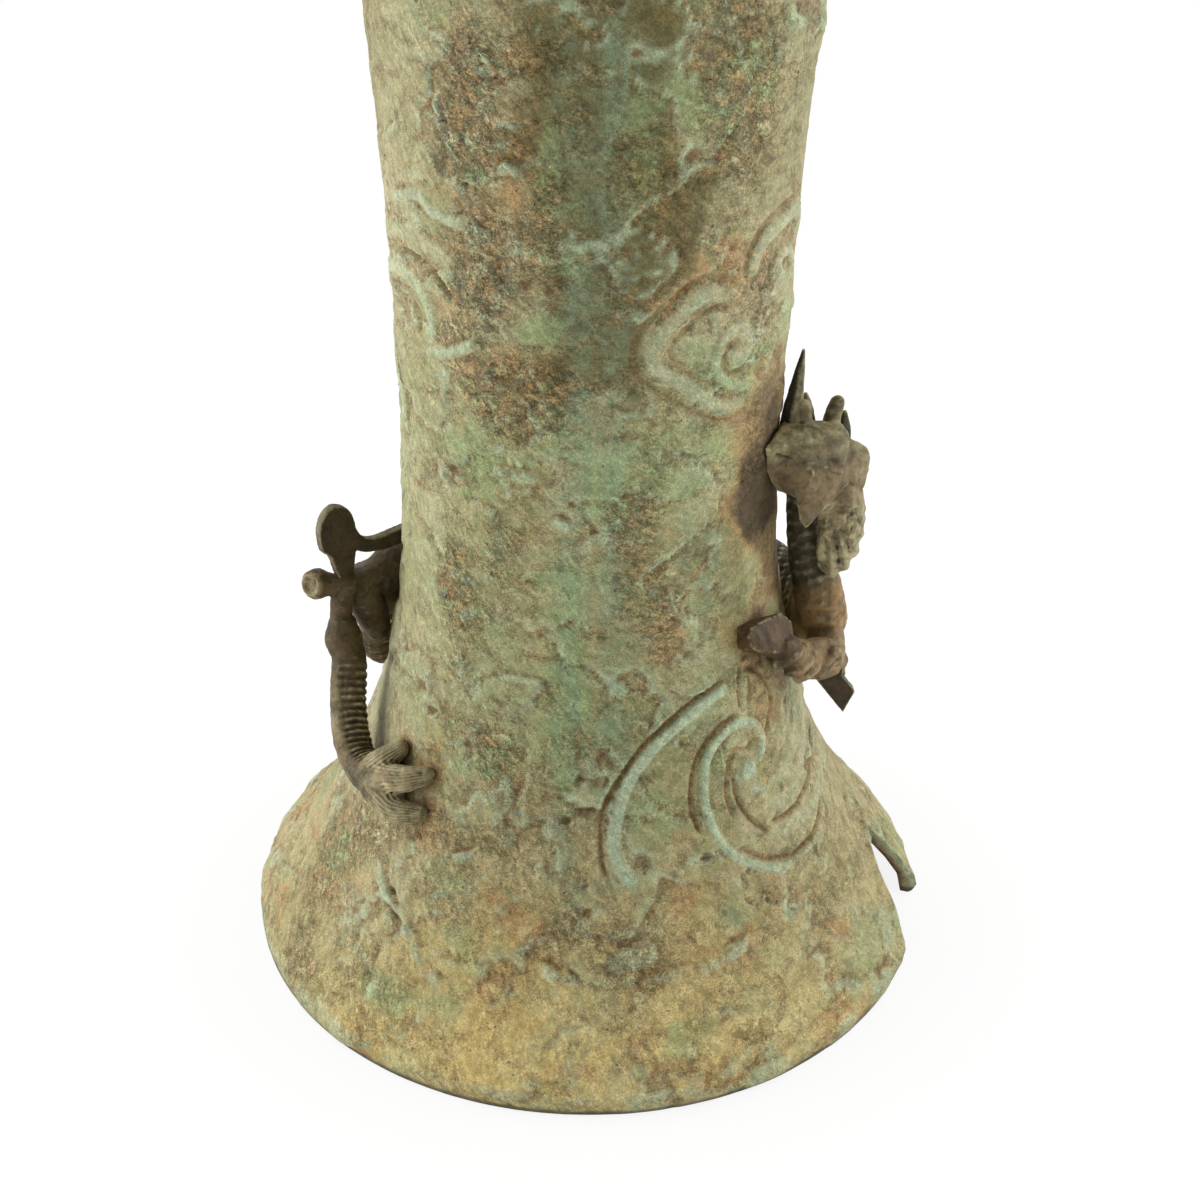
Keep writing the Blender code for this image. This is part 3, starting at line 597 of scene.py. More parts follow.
def trunk_radius(height):
    above_rim = np.maximum(height, RIM_BAND) - RIM_BAND
    flare = np.maximum(0, 1 - above_rim / (FLARE_TOP - RIM_BAND)) ** FLARE_POWER
    swell = np.maximum(0, (height - SWELL_START) / (TRUNK_HEIGHT - SWELL_START)) ** 2
    roll = EDGE_ROLL * np.exp(-(((height - EDGE_ROLL_HEIGHT) / EDGE_ROLL_SPREAD) ** 2))
    roll = np.where(np.asarray(height) > RIM_BAND, roll, 0)
    return WAIST_RADIUS + (FOOT_RADIUS - WAIST_RADIUS) * flare + (MOUTH_RADIUS - WAIST_RADIUS) * swell + roll


def outward(height):
    """(radial, vertical) parts of the trunk's outward normal."""
    step = 0.5 * MM
    slope = (trunk_radius(height + step) - trunk_radius(height - step)) / (2 * step)
    length = np.hypot(1, slope)
    return 1 / length, -slope / length


def on_trunk(azimuth, height, stand_off=0.0):
    """Points at a distance out from the trunk's surface, from degrees and millimetres."""
    height = np.asarray(height, float) * MM
    radius = trunk_radius(height) + np.asarray(stand_off) * MM
    angle = np.radians(azimuth)
    return np.stack((radius * np.cos(angle), radius * np.sin(angle), height * np.ones_like(angle)), -1)


def trunk_inside(height):
    """The wall's inner (radius, height) opposite an outer height."""
    radial, vertical = outward(height)
    return trunk_radius(height) - TRUNK_WALL * radial, height - TRUNK_WALL * vertical


def inside_radius(height):
    """The bore's radius at its own height."""
    outer = np.arange(8, TRUNK_HEIGHT / MM + 0.5) * MM
    radii, heights = trunk_inside(outer)
    return float(np.interp(height, heights, radii))


def smooth_path(stations, steps):
    """Rows of a Catmull-Rom curve through the stations."""
    known = np.array(stations, float)
    known = np.vstack((2 * known[0] - known[1], known, 2 * known[-1] - known[-2]))
    t = np.linspace(0, 1, steps, endpoint=False)[:, None]
    made = []
    for before, start, end, after in zip(known, known[1:], known[2:], known[3:]):
        bow = 2 * before - 5 * start + 4 * end - after
        twist = 3 * start - before - 3 * end + after
        made.append(0.5 * (2 * start + (end - before) * t + bow * t**2 + twist * t**3))
    return np.vstack((*made, known[-2]))


def bend(start, control, end, steps):
    """Points of a quadratic curve, without its first point."""
    t = np.linspace(0, 1, steps + 1)[1:, None]
    start, control, end = (np.array(point, float) for point in (start, control, end))
    curve = start * (1 - t) ** 2 + 2 * control * t * (1 - t) + end * t**2
    return [tuple(point) for point in curve.tolist()]


def ease(value, low, high):
    """0 below low, 1 above high and a smooth rise between."""
    share = np.clip((value - low) / (high - low), 0, 1)
    return share * share * (3 - 2 * share)


def radius_of(points):
    """Distance of each point from the upright axis."""
    return np.hypot(points[:, 0], points[:, 1])


def azimuth_gap(azimuth, place):
    """Degrees round the trunk from a place, from -180 to 180."""
    return (azimuth - place + 180) % 360 - 180


def gaps_to(targets, points):
    """Each point's distance from the nearest target."""
    tree = search_tree(targets)
    return np.array([tree.find(point)[2] for point in points])


def search_tree(points):
    tree = KDTree(len(points))
    for k, point in enumerate(points):
        tree.insert(point, k)
    tree.balance()
    return tree


# Mesh tools


def new_object(name, bm):
    mesh = bpy.data.meshes.new(name)
    bm.to_mesh(mesh)
    bm.free()
    obj = bpy.data.objects.new(name, mesh)
    bpy.context.scene.collection.objects.link(obj)
    return obj


def apply_modifiers(obj):
    graph = bpy.context.evaluated_depsgraph_get()
    mesh = bpy.data.meshes.new_from_object(obj.evaluated_get(graph))
    obj.modifiers.clear()
    old = obj.data
    obj.data = mesh
    mesh.name = obj.name
    bpy.data.meshes.remove(old)


def finish_piece(obj, material, body, slot, *nodes):
    """Shades a piece, gives it its material and stands it in for CAD nodes."""
    obj.data.shade_smooth()
    obj.data.materials.clear()
    obj.data.materials.append(material)
    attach(obj, body)
    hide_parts(*nodes)


def read_vertices(obj, value):
    flat = np.empty(3 * len(obj.data.vertices))
    obj.data.vertices.foreach_get(value, flat)
    return flat.reshape(-1, 3)


def points_of(obj):
    return read_vertices(obj, "co")


def move_points(obj, points):
    obj.data.vertices.foreach_set("co", np.ascontiguousarray(points, dtype=float).ravel())
    obj.data.update()


def normals_of(obj):
    return read_vertices(obj, "normal")


def mark(obj, name, values):
    """Keeps a value per point for the material."""
    layer = obj.data.attributes.get(name) or obj.data.attributes.new(name, "FLOAT", "POINT")
    layer.data.foreach_set("value", np.asarray(values, dtype=np.float32))


def neighbour_mean(values, pairs, count):
    """Mean of each point's neighbours along the mesh's edges."""
    near, far = pairs[:, 0], pairs[:, 1]
    degree = np.maximum(np.bincount(near, minlength=count) + np.bincount(far, minlength=count), 1)
    columns = []
    for column in values.reshape(count, -1).T:
        total = np.bincount(near, column[far], count) + np.bincount(far, column[near], count)
        columns.append(total / degree)
    return np.stack(columns, -1)


def mark_edges_and_hollows(obj, reach, rounds):
    """Marks what is raised or sunk against its surroundings, as worn edges and dirty hollows."""
    mesh = obj.data
    count = len(mesh.vertices)
    flat = np.empty(2 * len(mesh.edges), dtype=np.int32)
    mesh.edges.foreach_get("vertices", flat)
    pairs = flat.reshape(-1, 2)
    points = points_of(obj)
    around = points
    for _ in range(rounds):
        around = neighbour_mean(around, pairs, count)
    sunk = np.einsum("ij,ij->i", around - points, normals_of(obj))
    sunk = neighbour_mean(sunk, pairs, count)[:, 0]
    mark(obj, "edge", np.clip(-sunk / reach, 0, 1))
    mark(obj, "hollow", np.clip(sunk / reach, 0, 1))


def cast_noise(points, size, stretch=(1, 1, 1), octaves=3):
    """Fractal noise per point, about -1 to 1, with lumps of a size."""
    scaled = points * np.array(stretch) / size
    return np.array([noise.fractal(row, 1.0, 2.0, octaves) for row in scaled])


def spun(profile, steps, closed=True):
    """A bmesh turned about the upright axis from (radius, height) points."""
    bm = bmesh.new()
    verts = [bm.verts.new((radius, 0, height)) for radius, height in profile]
    edges = [bm.edges.new(pair) for pair in zip(verts, verts[1:])]
    if closed:
        edges.append(bm.edges.new((verts[-1], verts[0])))
    bmesh.ops.spin(
        bm, geom=verts + edges, cent=(0, 0, 0), axis=(0, 0, 1), angle=math.tau, steps=steps, use_merge=True
    )
    bmesh.ops.remove_doubles(bm, verts=bm.verts, dist=0.001 * MM)
    bmesh.ops.recalc_face_normals(bm, faces=bm.faces)
    return bm


def slab(outline, origin, along, depth):
    """A bmesh of a flat outline of (along, up) points, pushed out by a depth."""
    bm = bmesh.new()
    lift = Vector((0, 0, 1))
    face = bm.faces.new([bm.verts.new(origin + s * along + z * lift) for s, z in outline])
    made = bmesh.ops.extrude_face_region(bm, geom=[face])["geom"]
    bmesh.ops.translate(bm, vec=depth, verts=[item for item in made if isinstance(item, bmesh.types.BMVert)])
    bmesh.ops.recalc_face_normals(bm, faces=bm.faces)
    return bm


def ring_edges(verts):
    return list({edge for vert in verts for edge in vert.link_edges})


def skin(bm, rings):
    """Bridges rings of edges into one closed skin."""
    for near, far in zip(rings, rings[1:]):
        bmesh.ops.bridge_loops(bm, edges=near + far)


def add_limb(bm, path, sides):
    """A limb of round rings along (x, y, z, radius) rows, with domed ends."""
    centres = path[:, :3]
    tangents = np.gradient(centres, axis=0)
    side = Vector(tangents[0]).orthogonal()
    rings = []
    last = len(path) - 1
    for k, (row, tangent) in enumerate(zip(path.tolist(), tangents.tolist())):
        tangent = Vector(tangent).normalized()
        side = (side - side.dot(tangent) * tangent).normalized()
        basis = Matrix((side, tangent.cross(side), tangent)).transposed().to_4x4()
        domes = [(0, 1.0)]
        if k == 0:
            domes = [(-rise, share) for rise, share in reversed(DOME)] + domes
        if k == last:
            domes += DOME
        for d, (rise, share) in enumerate(domes):
            capped = (k == 0 and d == 0) or (k == last and d == len(domes) - 1)
            place = Matrix.Translation(Vector(row[:3]) + rise * row[3] * tangent) @ basis
            made = bmesh.ops.create_circle(
                bm, cap_ends=capped, radius=share * row[3], segments=sides, matrix=place
            )
            rings.append(ring_edges(made["verts"]))
    skin(bm, rings)


def halve_edges(obj, chosen):
    """A finer mesh between chosen points."""
    bm = bmesh.new()
    bm.from_mesh(obj.data)
    edges = [edge for edge in bm.edges if chosen[edge.verts[0].index] and chosen[edge.verts[1].index]]
    bmesh.ops.subdivide_edges(bm, edges=edges, cuts=1, use_grid_fill=True)
    bm.to_mesh(obj.data)
    bm.free()


def fuse(name, bm, size, smoothing):
    """Melts overlapping closed shells into one fine skin."""
    bmesh.ops.recalc_face_normals(bm, faces=bm.faces)
    obj = new_object(name, bm)
    melt = obj.modifiers.new("melt", "REMESH")
    melt.mode = "VOXEL"
    melt.voxel_size = size
    soften = obj.modifiers.new("soften", "SMOOTH")
    soften.factor = 0.5
    soften.iterations = smoothing
    apply_modifiers(obj)
    return obj


def melt_limbs(name, paths, sides, size, smoothing=4):
    """One casting of limbs along paths."""
    bm = bmesh.new()
    for path in paths:
        add_limb(bm, path, sides)
    return fuse(name, bm, size, smoothing)


def seat_on_trunk(obj):
    """Draws in what would pass far into the trunk's wall."""
    points = points_of(obj)
    radius = radius_of(points)
    least = trunk_radius(points[:, 2]) - SEAT_DEPTH
    share = np.maximum(radius, least) / radius
    points[:, 0] *= share
    points[:, 1] *= share
    move_points(obj, points)


class Along:
    """Where points lie along a limb's path."""

    def __init__(self, points, path):
        centres = path[:, :3]
        run = np.concatenate(([0], np.cumsum(np.linalg.norm(np.diff(centres, axis=0), axis=1))))
        tree = search_tree(centres)
        nearest = np.array([tree.find(point)[1] for point in points])
        tangents = np.gradient(centres, axis=0)
        tangents /= np.linalg.norm(tangents, axis=1)[:, None]
        offset = points - centres[nearest]
        ahead = np.einsum("ij,ij->i", offset, tangents[nearest])
        self.offset = offset - ahead[:, None] * tangents[nearest]
        self.distance = np.linalg.norm(self.offset, axis=1)
        self.run = run[nearest] + ahead
        self.share = self.run / run[-1]
        self.length = run[-1]
        self.radius = path[nearest, 3]
        self.tangent = tangents[nearest]

    def on_limb(self, slack=1.25):
        """1 for points that lie on this limb, 0 for those on another."""
        return ease(-self.distance / self.radius, -slack - 0.2, -slack)

    def turn(self, up):
        """Angle round the limb from a direction, in turns."""
        side = np.cross(self.tangent, up)
        side /= np.maximum(np.linalg.norm(side, axis=1), 1e-9)[:, None]
        top = np.cross(side, self.tangent)
        across = np.einsum("ij,ij->i", self.offset, side)
        above = np.einsum("ij,ij->i", self.offset, top)
        return np.arctan2(across, above) / math.tau


# Materials


class Painter:
    """Adds shader nodes to a tree."""

    def __init__(self, tree):
        self.tree = tree

    def node(self, kind, inputs, **settings):
        made = self.tree.nodes.new(kind)
        for name, value in settings.items():
            setattr(made, name, value)
        for socket, value in inputs.items():
            self.join(made.inputs[socket], value)
        return made

    def join(self, socket, value):
        if isinstance(value, bpy.types.NodeSocket):
            self.tree.links.new(value, socket)
        elif socket.type == "RGBA":
            socket.default_value = (*value, 1)
        else:
            socket.default_value = value

    def place(self):
        return self.node("ShaderNodeTexCoord", {}).outputs["Object"]

    def stretched(self, place, scale):
        return self.node("ShaderNodeMapping", {"Vector": place, "Scale": scale}).outputs[0]

    def slanted(self, place, scale, turn):
        inputs = {"Vector": place, "Scale": scale, "Rotation": turn}
        return self.node("ShaderNodeMapping", inputs, vector_type="TEXTURE").outputs[0]

    def noise(self, place, scale, detail, roughness, distortion=0.0):
        inputs = {"Vector": place, "Scale": scale, "Detail": detail, "Roughness": roughness}
        return self.node("ShaderNodeTexNoise", {**inputs, "Distortion": distortion}).outputs[0]

    def math(self, operation, first, second=0.0):
        return self.node("ShaderNodeMath", {0: first, 1: second}, operation=operation).outputs[0]

    def times(self, first, second):
        return self.math("MULTIPLY", first, second)

    def plus(self, first, second):
        return self.math("ADD", first, second)

    def minus(self, first, second):
        return self.math("SUBTRACT", first, second)

    def weigh(self, *parts):
        """The sum of values times their shares."""
        scaled = [self.times(value, share) for value, share in parts]
        total = scaled[0]
        for further in scaled[1:]:
            total = self.plus(total, further)
        return total

    def ramp(self, value, low, high, least=0.0, most=1.0):
        inputs = {"Value": value, "From Min": low, "From Max": high, "To Min": least, "To Max": most}
        return self.node("ShaderNodeMapRange", inputs, interpolation_type="SMOOTHSTEP").outputs[0]

    def mix(self, share, low, high, blend="MIX"):
        inputs = {0: share, 6: low, 7: high}
        return self.node("ShaderNodeMix", inputs, data_type="RGBA", blend_type=blend).outputs[2]

    def attribute(self, name):
        return self.node("ShaderNodeAttribute", {}, attribute_name=name).outputs["Fac"]

    def group(self, tree, inputs):
        made = self.node("ShaderNodeGroup", {}, node_tree=tree)
        for socket, value in inputs.items():
            self.join(made.inputs[socket], value)
        return made.outputs


def node_group(name, inputs, outputs):
    """An empty group with named sockets: its painter, its inputs and its output node."""
    tree = bpy.data.node_groups.new(name, "ShaderNodeTree")
    for label, kind in inputs.items():
        tree.interface.new_socket(label, in_out="INPUT", socket_type=f"NodeSocket{kind}")
    for label, kind in outputs.items():
        tree.interface.new_socket(label, in_out="OUTPUT", socket_type=f"NodeSocket{kind}")
    entry = tree.nodes.new("NodeGroupInput").outputs
    leave = tree.nodes.new("NodeGroupOutput").inputs
    return tree, Painter(tree), entry, leave


def cast_skin_group():
    """Grain of a sand casting: a height for bump and masks of its pits and its flaking crust."""
    found = bpy.data.node_groups.get("cast_skin")
    if found:
        return found
    tree, paint, entry, leave = node_group(
        "cast_skin",
        {"Position": "Vector", "Fineness": "Float"},
        {"Height": "Float", "Pits": "Float", "Flakes": "Float"},
    )
    place = paint.node(
        "ShaderNodeVectorMath", {0: entry["Position"], "Scale": entry["Fineness"]}, operation="SCALE"
    ).outputs[0]
    lumps = paint.noise(place, GRAIN_SCALE, 5, 0.7, 0.3)
    scratches = paint.noise(paint.slanted(place, (3.2, 3.2, 1), (0.5, 0.75, 0)), SCRATCH_SCALE, 3, 0.65, 0.6)
    pits = paint.ramp(paint.noise(place, PIT_SCALE, 2, 0.5), 0.67, 0.74)
    crust = paint.noise(paint.stretched(place, (1, 1, 1.7)), FLAKE_SCALE, 6, 0.74, 0.5)
    paint.join(leave["Flakes"], paint.ramp(crust, 0.41, 0.6))
    height = paint.weigh((lumps, 0.55), (scratches, 0.6))
    paint.join(leave["Height"], paint.minus(height, paint.times(pits, 0.4)))
    paint.join(leave["Pits"], pits)
    return tree


def mottle_group():
    """Uneven patina: two tones in patches of several sizes, with warm patches over them."""
    found = bpy.data.node_groups.get("mottle")
    if found:
        return found
    inputs = {"Position": "Vector", "Deep": "Color", "Pale": "Color", "Warm": "Color", "Warmth": "Float"}
    tree, paint, entry, leave = node_group("mottle", inputs, {"Color": "Color", "Patches": "Float"})
    place = entry["Position"]
    broad = paint.noise(place, BROAD_SCALE, 4, 0.6, 0.5)
    middle = paint.noise(paint.stretched(place, (1, 1, 1.5)), MIDDLE_SCALE, 5, 0.7, 0.5)
    fine = paint.noise(paint.stretched(place, (1, 1, 1.8)), FINE_SCALE, 5, 0.75)
    patches = paint.weigh((broad, 0.35), (middle, 0.45), (fine, 0.2))
    tone = paint.mix(paint.ramp(patches, 0.4, 0.6), entry["Deep"], entry["Pale"])
    blots = paint.times(paint.noise(place, BLOT_SCALE, 5, 0.7, 0.6), 0.5)
    blots = paint.ramp(paint.plus(blots, paint.times(fine, 0.5)), 0.46, 0.58)
    tone = paint.mix(paint.times(blots, entry["Warmth"]), tone, entry["Warm"])
    paint.join(leave["Color"], tone)
    paint.join(leave["Patches"], patches)
    return tree


def settled_group():
    """Dirt in hollows and rubbed edges, both with ragged borders."""
    found = bpy.data.node_groups.get("settled")
    if found:
        return found
    inputs = {
        "Position": "Vector",
        "Color": "Color",
        "Hollow": "Float",
        "Dirt": "Color",
        "Edge": "Float",
        "Rubbed": "Color",
    }
    tree, paint, entry, leave = node_group("settled", inputs, {"Color": "Color"})
    ragged = paint.noise(entry["Position"], BORDER_SCALE, 4, 0.7)
    dirt = paint.plus(entry["Hollow"], paint.times(paint.minus(ragged, 0.5), 0.7))
    rub = paint.plus(entry["Edge"], paint.times(paint.minus(ragged, 0.5), -0.6))
    tone = paint.mix(paint.ramp(dirt, 0.12, 0.75), entry["Color"], entry["Dirt"])
    paint.join(leave["Color"], paint.mix(paint.ramp(rub, 0.15, 0.85), tone, entry["Rubbed"]))
    return tree


def settle(paint, place, tone, hollow, dirt, edge, rubbed):
    """A tone with dirt in the hollows and wear on the edges that are marked on the piece."""
    inputs = {
        "Position": place,
        "Color": tone,
        "Hollow": paint.times(paint.attribute("hollow"), hollow),
        "Dirt": dirt,
        "Edge": paint.times(paint.attribute("edge"), edge),
        "Rubbed": rubbed,
    }
    return paint.group(settled_group(), inputs)["Color"]


def start_material(name):
    made = bpy.data.materials.new(name)
    made.use_nodes = True
    return made, Painter(made.node_tree), made.node_tree.nodes["Principled BSDF"]


def skin_bump(paint, shader, height, distance, strength):
    made = paint.node("ShaderNodeBump", {"Height": height, "Distance": distance, "Strength": strength})
    paint.join(shader.inputs["Normal"], made.outputs[0])


def patina_material(name, patina, warmth):
    """Verdigris bronze, with marks on the piece saying where green, brown and staining lie, and painted shade
    toward the top and where the dragon meets the trunk.
    """
    made, paint, shader = start_material(name)
    place = paint.place()
    axes = paint.node("ShaderNodeSeparateXYZ", {0: place}).outputs
    height = axes["Z"]
    frontward = paint.ramp(paint.math("ABSOLUTE", axes["Y"]), *FRONT_RISE, 0.2, 1.0)
    foot = paint.times(paint.ramp(height, *FOOT_FADE, 1.0, 0.0), frontward)
    rough = paint.attribute("rough")
    skin_of = paint.group(cast_skin_group(), {"Position": place, "Fineness": 1.0})
    spread = paint.noise(place, SPREAD_SCALE, 5, 0.66, 0.6)
    fine = paint.noise(paint.stretched(place, (1, 1, 1.6)), SPECK_SCALE, 4, 0.75)
    broken = paint.weigh((spread, 0.6), (fine, 0.4))
    ragged = paint.minus(broken, 0.5)
    bare = paint.minus(1.0, skin_of["Flakes"])
    rust = paint.plus(paint.attribute("rust"), paint.times(ragged, 2.2))
    rust = paint.times(paint.ramp(rust, 0.22, 0.75), warmth)
    tones = {
        "Deep": paint.mix(foot, patina.olive, patina.ochre),
        "Pale": paint.mix(foot, patina.khaki, patina.straw),
        "Warm": patina.russet,
        "Warmth": paint.plus(paint.times(rust, 0.7), 0.15),
    }
    mottle = paint.group(mottle_group(), {"Position": place, **tones})
    tone = mottle["Color"]
    # Painted shade: the height ramp darkens the upper trunk and the dish toward the top, and the dark mark
    # holds dark patina blotches together with painted shade over the upper front centre
    dark = paint.math("MAXIMUM", paint.attribute("dark"), paint.ramp(height, *PAINTED_SHADE_RISE, 0.0, 0.5))
    dark = paint.plus(dark, paint.times(ragged, 1.6))
    tone = paint.mix(paint.ramp(dark, 0.25, 1.1, 0.0, 0.8), tone, patina.shade)
    fade = paint.ramp(height, *BELT_FADE, 1.0, 0.0)
    belt = paint.times(paint.ramp(height, *BELT_RISE, 0.0, 0.5), fade)
    green = paint.math("MAXIMUM", paint.attribute("green"), belt)
    green = paint.plus(green, paint.times(ragged, 2.0))
    tone = paint.mix(paint.ramp(green, 0.2, 1.1, 0.0, 0.75), tone, patina.moss)
    streaky = paint.noise(paint.stretched(place, (1, 1, 0.2)), RUN_SCALE, 5, 0.7)
    streaky = paint.weigh((streaky, 0.6), (fine, 0.4))
    streaky = paint.times(paint.ramp(streaky, 0.4, 0.6), paint.ramp(spread, 0.35, 0.6, 0.3, 1.0))
    streak = paint.times(paint.attribute("streak"), streaky)
    tone = paint.mix(streak, tone, patina.teal)
    earth = paint.mix(paint.ramp(fine, 0.4, 0.6), patina.umber, patina.russet)
    tone = paint.mix(paint.times(bare, paint.times(rough, 0.65)), tone, earth)
    ridge = paint.times(paint.attribute("ridge"), paint.ramp(broken, 0.36, 0.54, 0.5, 1.0))
    tone = paint.mix(ridge, tone, patina.verdigris)
    tone = paint.mix(paint.times(paint.attribute("groove"), 0.8), tone, earth)
    tone = settle(paint, place, tone, 0.6, patina.umber, 0.5, patina.verdigris)
    # Russet staining and a dark mix near the dragon, partly painted shade where it meets the trunk; the same
    # mark also darkens the wall's inside
    close = paint.plus(paint.attribute("near_stain_and_shade"), paint.times(ragged, 2.2))
    tone = paint.mix(paint.ramp(close, 0.05, 0.7, 0.0, 0.65), tone, patina.russet)
    tone = paint.mix(paint.ramp(close, 0.3, 1.15, 0.0, 0.95), tone, patina.stain_and_shade)
    tone = paint.mix(paint.times(skin_of["Pits"], 0.35), tone, patina.umber)
    speckle = paint.ramp(skin_of["Height"], 0.4, 0.74, 0.5, 1.46)
    dust = paint.ramp(paint.noise(place, DUST_SCALE, 2, 0.6), 0.3, 0.7, 0.56, 1.44)
    speckle = paint.times(speckle, dust)
    grey = paint.node("ShaderNodeCombineColor", {0: speckle, 1: speckle, 2: speckle}).outputs[0]
    tone = paint.mix(paint.plus(paint.times(rough, 0.5), 0.5), tone, grey, "MULTIPLY")
    # Darkens the lowest few millimetres of the foot
    tone = paint.mix(paint.ramp(height, *RIM_FADE, 0.8, 0.0), tone, patina.stain_and_shade)
    paint.join(shader.inputs["Base Color"], tone)
    paint.join(shader.inputs["Roughness"], paint.ramp(mottle["Patches"], 0.35, 0.65, 0.5, 0.72))
    shader.inputs["Metallic"].default_value = 0.1
    shader.inputs["Specular IOR Level"].default_value = 0.16
    crust = paint.times(skin_of["Flakes"], paint.times(rough, 0.8))
    grain = paint.times(skin_of["Height"], paint.plus(paint.times(rough, 0.4), 0.4))
    skin_bump(paint, shader, paint.plus(crust, grain), 0.55 * MM, 1.0)
    return made


def dragon_material(dragon):
    """Dark bronze, with marks on the piece saying where it is brown or worn pale."""
    made, paint, shader = start_material("dark_dragon_bronze")
    place = paint.place()
    skin_of = paint.group(cast_skin_group(), {"Position": place, "Fineness": 1.5})
    tones = {"Deep": dragon.bronze, "Pale": dragon.brown, "Warm": dragon.warm, "Warmth": 0.06}
    mottle = paint.group(mottle_group(), {"Position": place, **tones})
    uneven = paint.ramp(paint.noise(place, WORN_SCALE, 5, 0.65, 0.5), 0.3, 0.62, 0.25, 1.0)
    tone = paint.mix(paint.times(paint.attribute("warm"), uneven), mottle["Color"], dragon.warm)
    worn = {"Deep": dragon.olive, "Pale": dragon.rubbed, "Warm": dragon.warm, "Warmth": 0.3}
    worn = paint.group(mottle_group(), {"Position": paint.stretched(place, (1.6, 1.6, 1.6)), **worn})
    tone = paint.mix(paint.times(paint.attribute("pale"), uneven), tone, worn["Color"])
    tone = settle(paint, place, tone, 1.0, dragon.grime, 0.8, dragon.rubbed)
    tone = paint.mix(paint.times(skin_of["Pits"], 0.5), tone, dragon.grime)
    paint.join(shader.inputs["Base Color"], tone)
    paint.join(shader.inputs["Roughness"], paint.ramp(mottle["Patches"], 0.3, 0.7, 0.45, 0.72))
    shader.inputs["Metallic"].default_value = 0.1
    shader.inputs["Specular IOR Level"].default_value = 0.18
    skin_bump(paint, shader, skin_of["Height"], 0.35 * MM, 0.8)
    return made


def copper_material(liner):
    """Tarnished sheet copper with faint drawn lines."""
    made, paint, shader = start_material("copper_sheet")
    place = paint.place()
    tones = {"Deep": liner.deep, "Pale": liner.pale, "Warm": liner.tarnish, "Warmth": 0.5}
    mottle = paint.group(mottle_group(), {"Position": place, **tones})
    lines = paint.noise(paint.stretched(place, (1, 1, 30)), DRAWN_LINE_SCALE, 2, 0.5)
    paint.join(shader.inputs["Base Color"], mottle["Color"])
    paint.join(shader.inputs["Roughness"], paint.ramp(mottle["Patches"], 0.3, 0.7, 0.3, 0.55))
    shader.inputs["Metallic"].default_value = 0.9
    skin_bump(paint, shader, lines, 0.1 * MM, 0.4)
    return made


# Trunk


class Relief:
    """Raised and sunk work over the trunk's points."""

    def __init__(self, azimuths, heights):
        self.points = on_trunk(azimuths, heights)
        self.rise = np.zeros(len(azimuths))
        self.ridge = np.zeros(len(azimuths))
        self.groove = np.zeros(len(azimuths))

    def near(self, path, reach):
        """Points close to a path, with their distance from it and their share of its length."""
        low, high = path.min(0) - reach, path.max(0) + reach
        chosen = np.flatnonzero(((self.points >= low) & (self.points <= high)).all(1))
        gaps = np.linalg.norm(self.points[chosen, None] - path[None], axis=2)
        share = gaps.argmin(1) / (len(path) - 1)
        return chosen, gaps.min(1), share

    def draw(self, kind, stations, strength, green, dirt, wear=1.0, taper=0.12):
        """A stroke with a rounded section and tapering ends; wear is the share that is left of it."""
        half_width, height = (size * MM for size in kind)
        rows = smooth_path(stations, 12)
        chosen, gap, share = self.near(on_trunk(rows[:, 0], rows[:, 1]), half_width)
        ends = ease(share, 0, taper) * ease(1 - share, 0, taper) if len(stations) > 2 else 1.0
        section = ease(1 - gap / half_width, 0, 0.55) * ends * (wear if np.isscalar(wear) else wear[chosen])
        self.rise[chosen] += height * strength * section
        if height > 0:
            self.ridge[chosen] = np.maximum(self.ridge[chosen], green * section)
        else:
            self.groove[chosen] = np.maximum(self.groove[chosen], dirt * section)

    def border(self, outline):
        """Parallel lines along an arch's edge."""
        rows = np.array(outline)
        chosen, gap, _ = self.near(rows, ARCH_BORDER)
        for place, half_width, height in ARCH_LINES:
            aside = np.clip(np.abs(gap - place * MM) / (half_width * MM), 0, 1)
            section = 0.5 + 0.5 * np.cos(np.pi * aside)
            dirt = RAISED_LINE_DIRT if height > 0 else SUNK_LINE_DIRT
            self.rise[chosen] += height * MM * section
            self.groove[chosen] = np.maximum(self.groove[chosen], dirt * section)


def arch_outline():
    """(along, up) points of the gap under a breaking wave, in millimetres."""
    crown = (ARCH_FAR - 4.5, ARCH_HEIGHT)
    outline = [(ARCH_NEAR, -2), (ARCH_NEAR, 0)]
    outline += bend(outline[-1], (-5, 0.7 * ARCH_HEIGHT), crown, 14)
    outline += bend(crown, (ARCH_FAR - 0.5, ARCH_HEIGHT), (ARCH_FAR - 0.5, 0.75 * ARCH_HEIGHT), 8)
    return outline + [(ARCH_FAR, 0), (ARCH_FAR, -2)]


def cut_arch(trunk, azimuth):
    angle = math.radians(azimuth)
    out = Vector((math.cos(angle), math.sin(angle), 0))
    along = Vector((-math.sin(angle), math.cos(angle), 0))
    outline = [(s * MM, z * MM) for s, z in arch_outline()]
    cut = slab(outline, 0.5 * FOOT_RADIUS * out, along, 0.7 * FOOT_RADIUS * out)
    cutter = new_object("arch_cutter", cut)
    modifier = trunk.modifiers.new("arch", "BOOLEAN")
    modifier.operation = "DIFFERENCE"
    modifier.solver = "EXACT"
    modifier.object = cutter
    apply_modifiers(trunk)
    bpy.data.objects.remove(cutter, do_unlink=True)


def arch_on_trunk(azimuth):
    """The arch's edge on the trunk's surface."""
    made = []
    for s, z in smooth_path(arch_outline()[1:-1], 4):
        lean = math.degrees(math.asin(s * MM / float(trunk_radius(z * MM))))
        made.append(on_trunk(azimuth + lean, z))
    return made


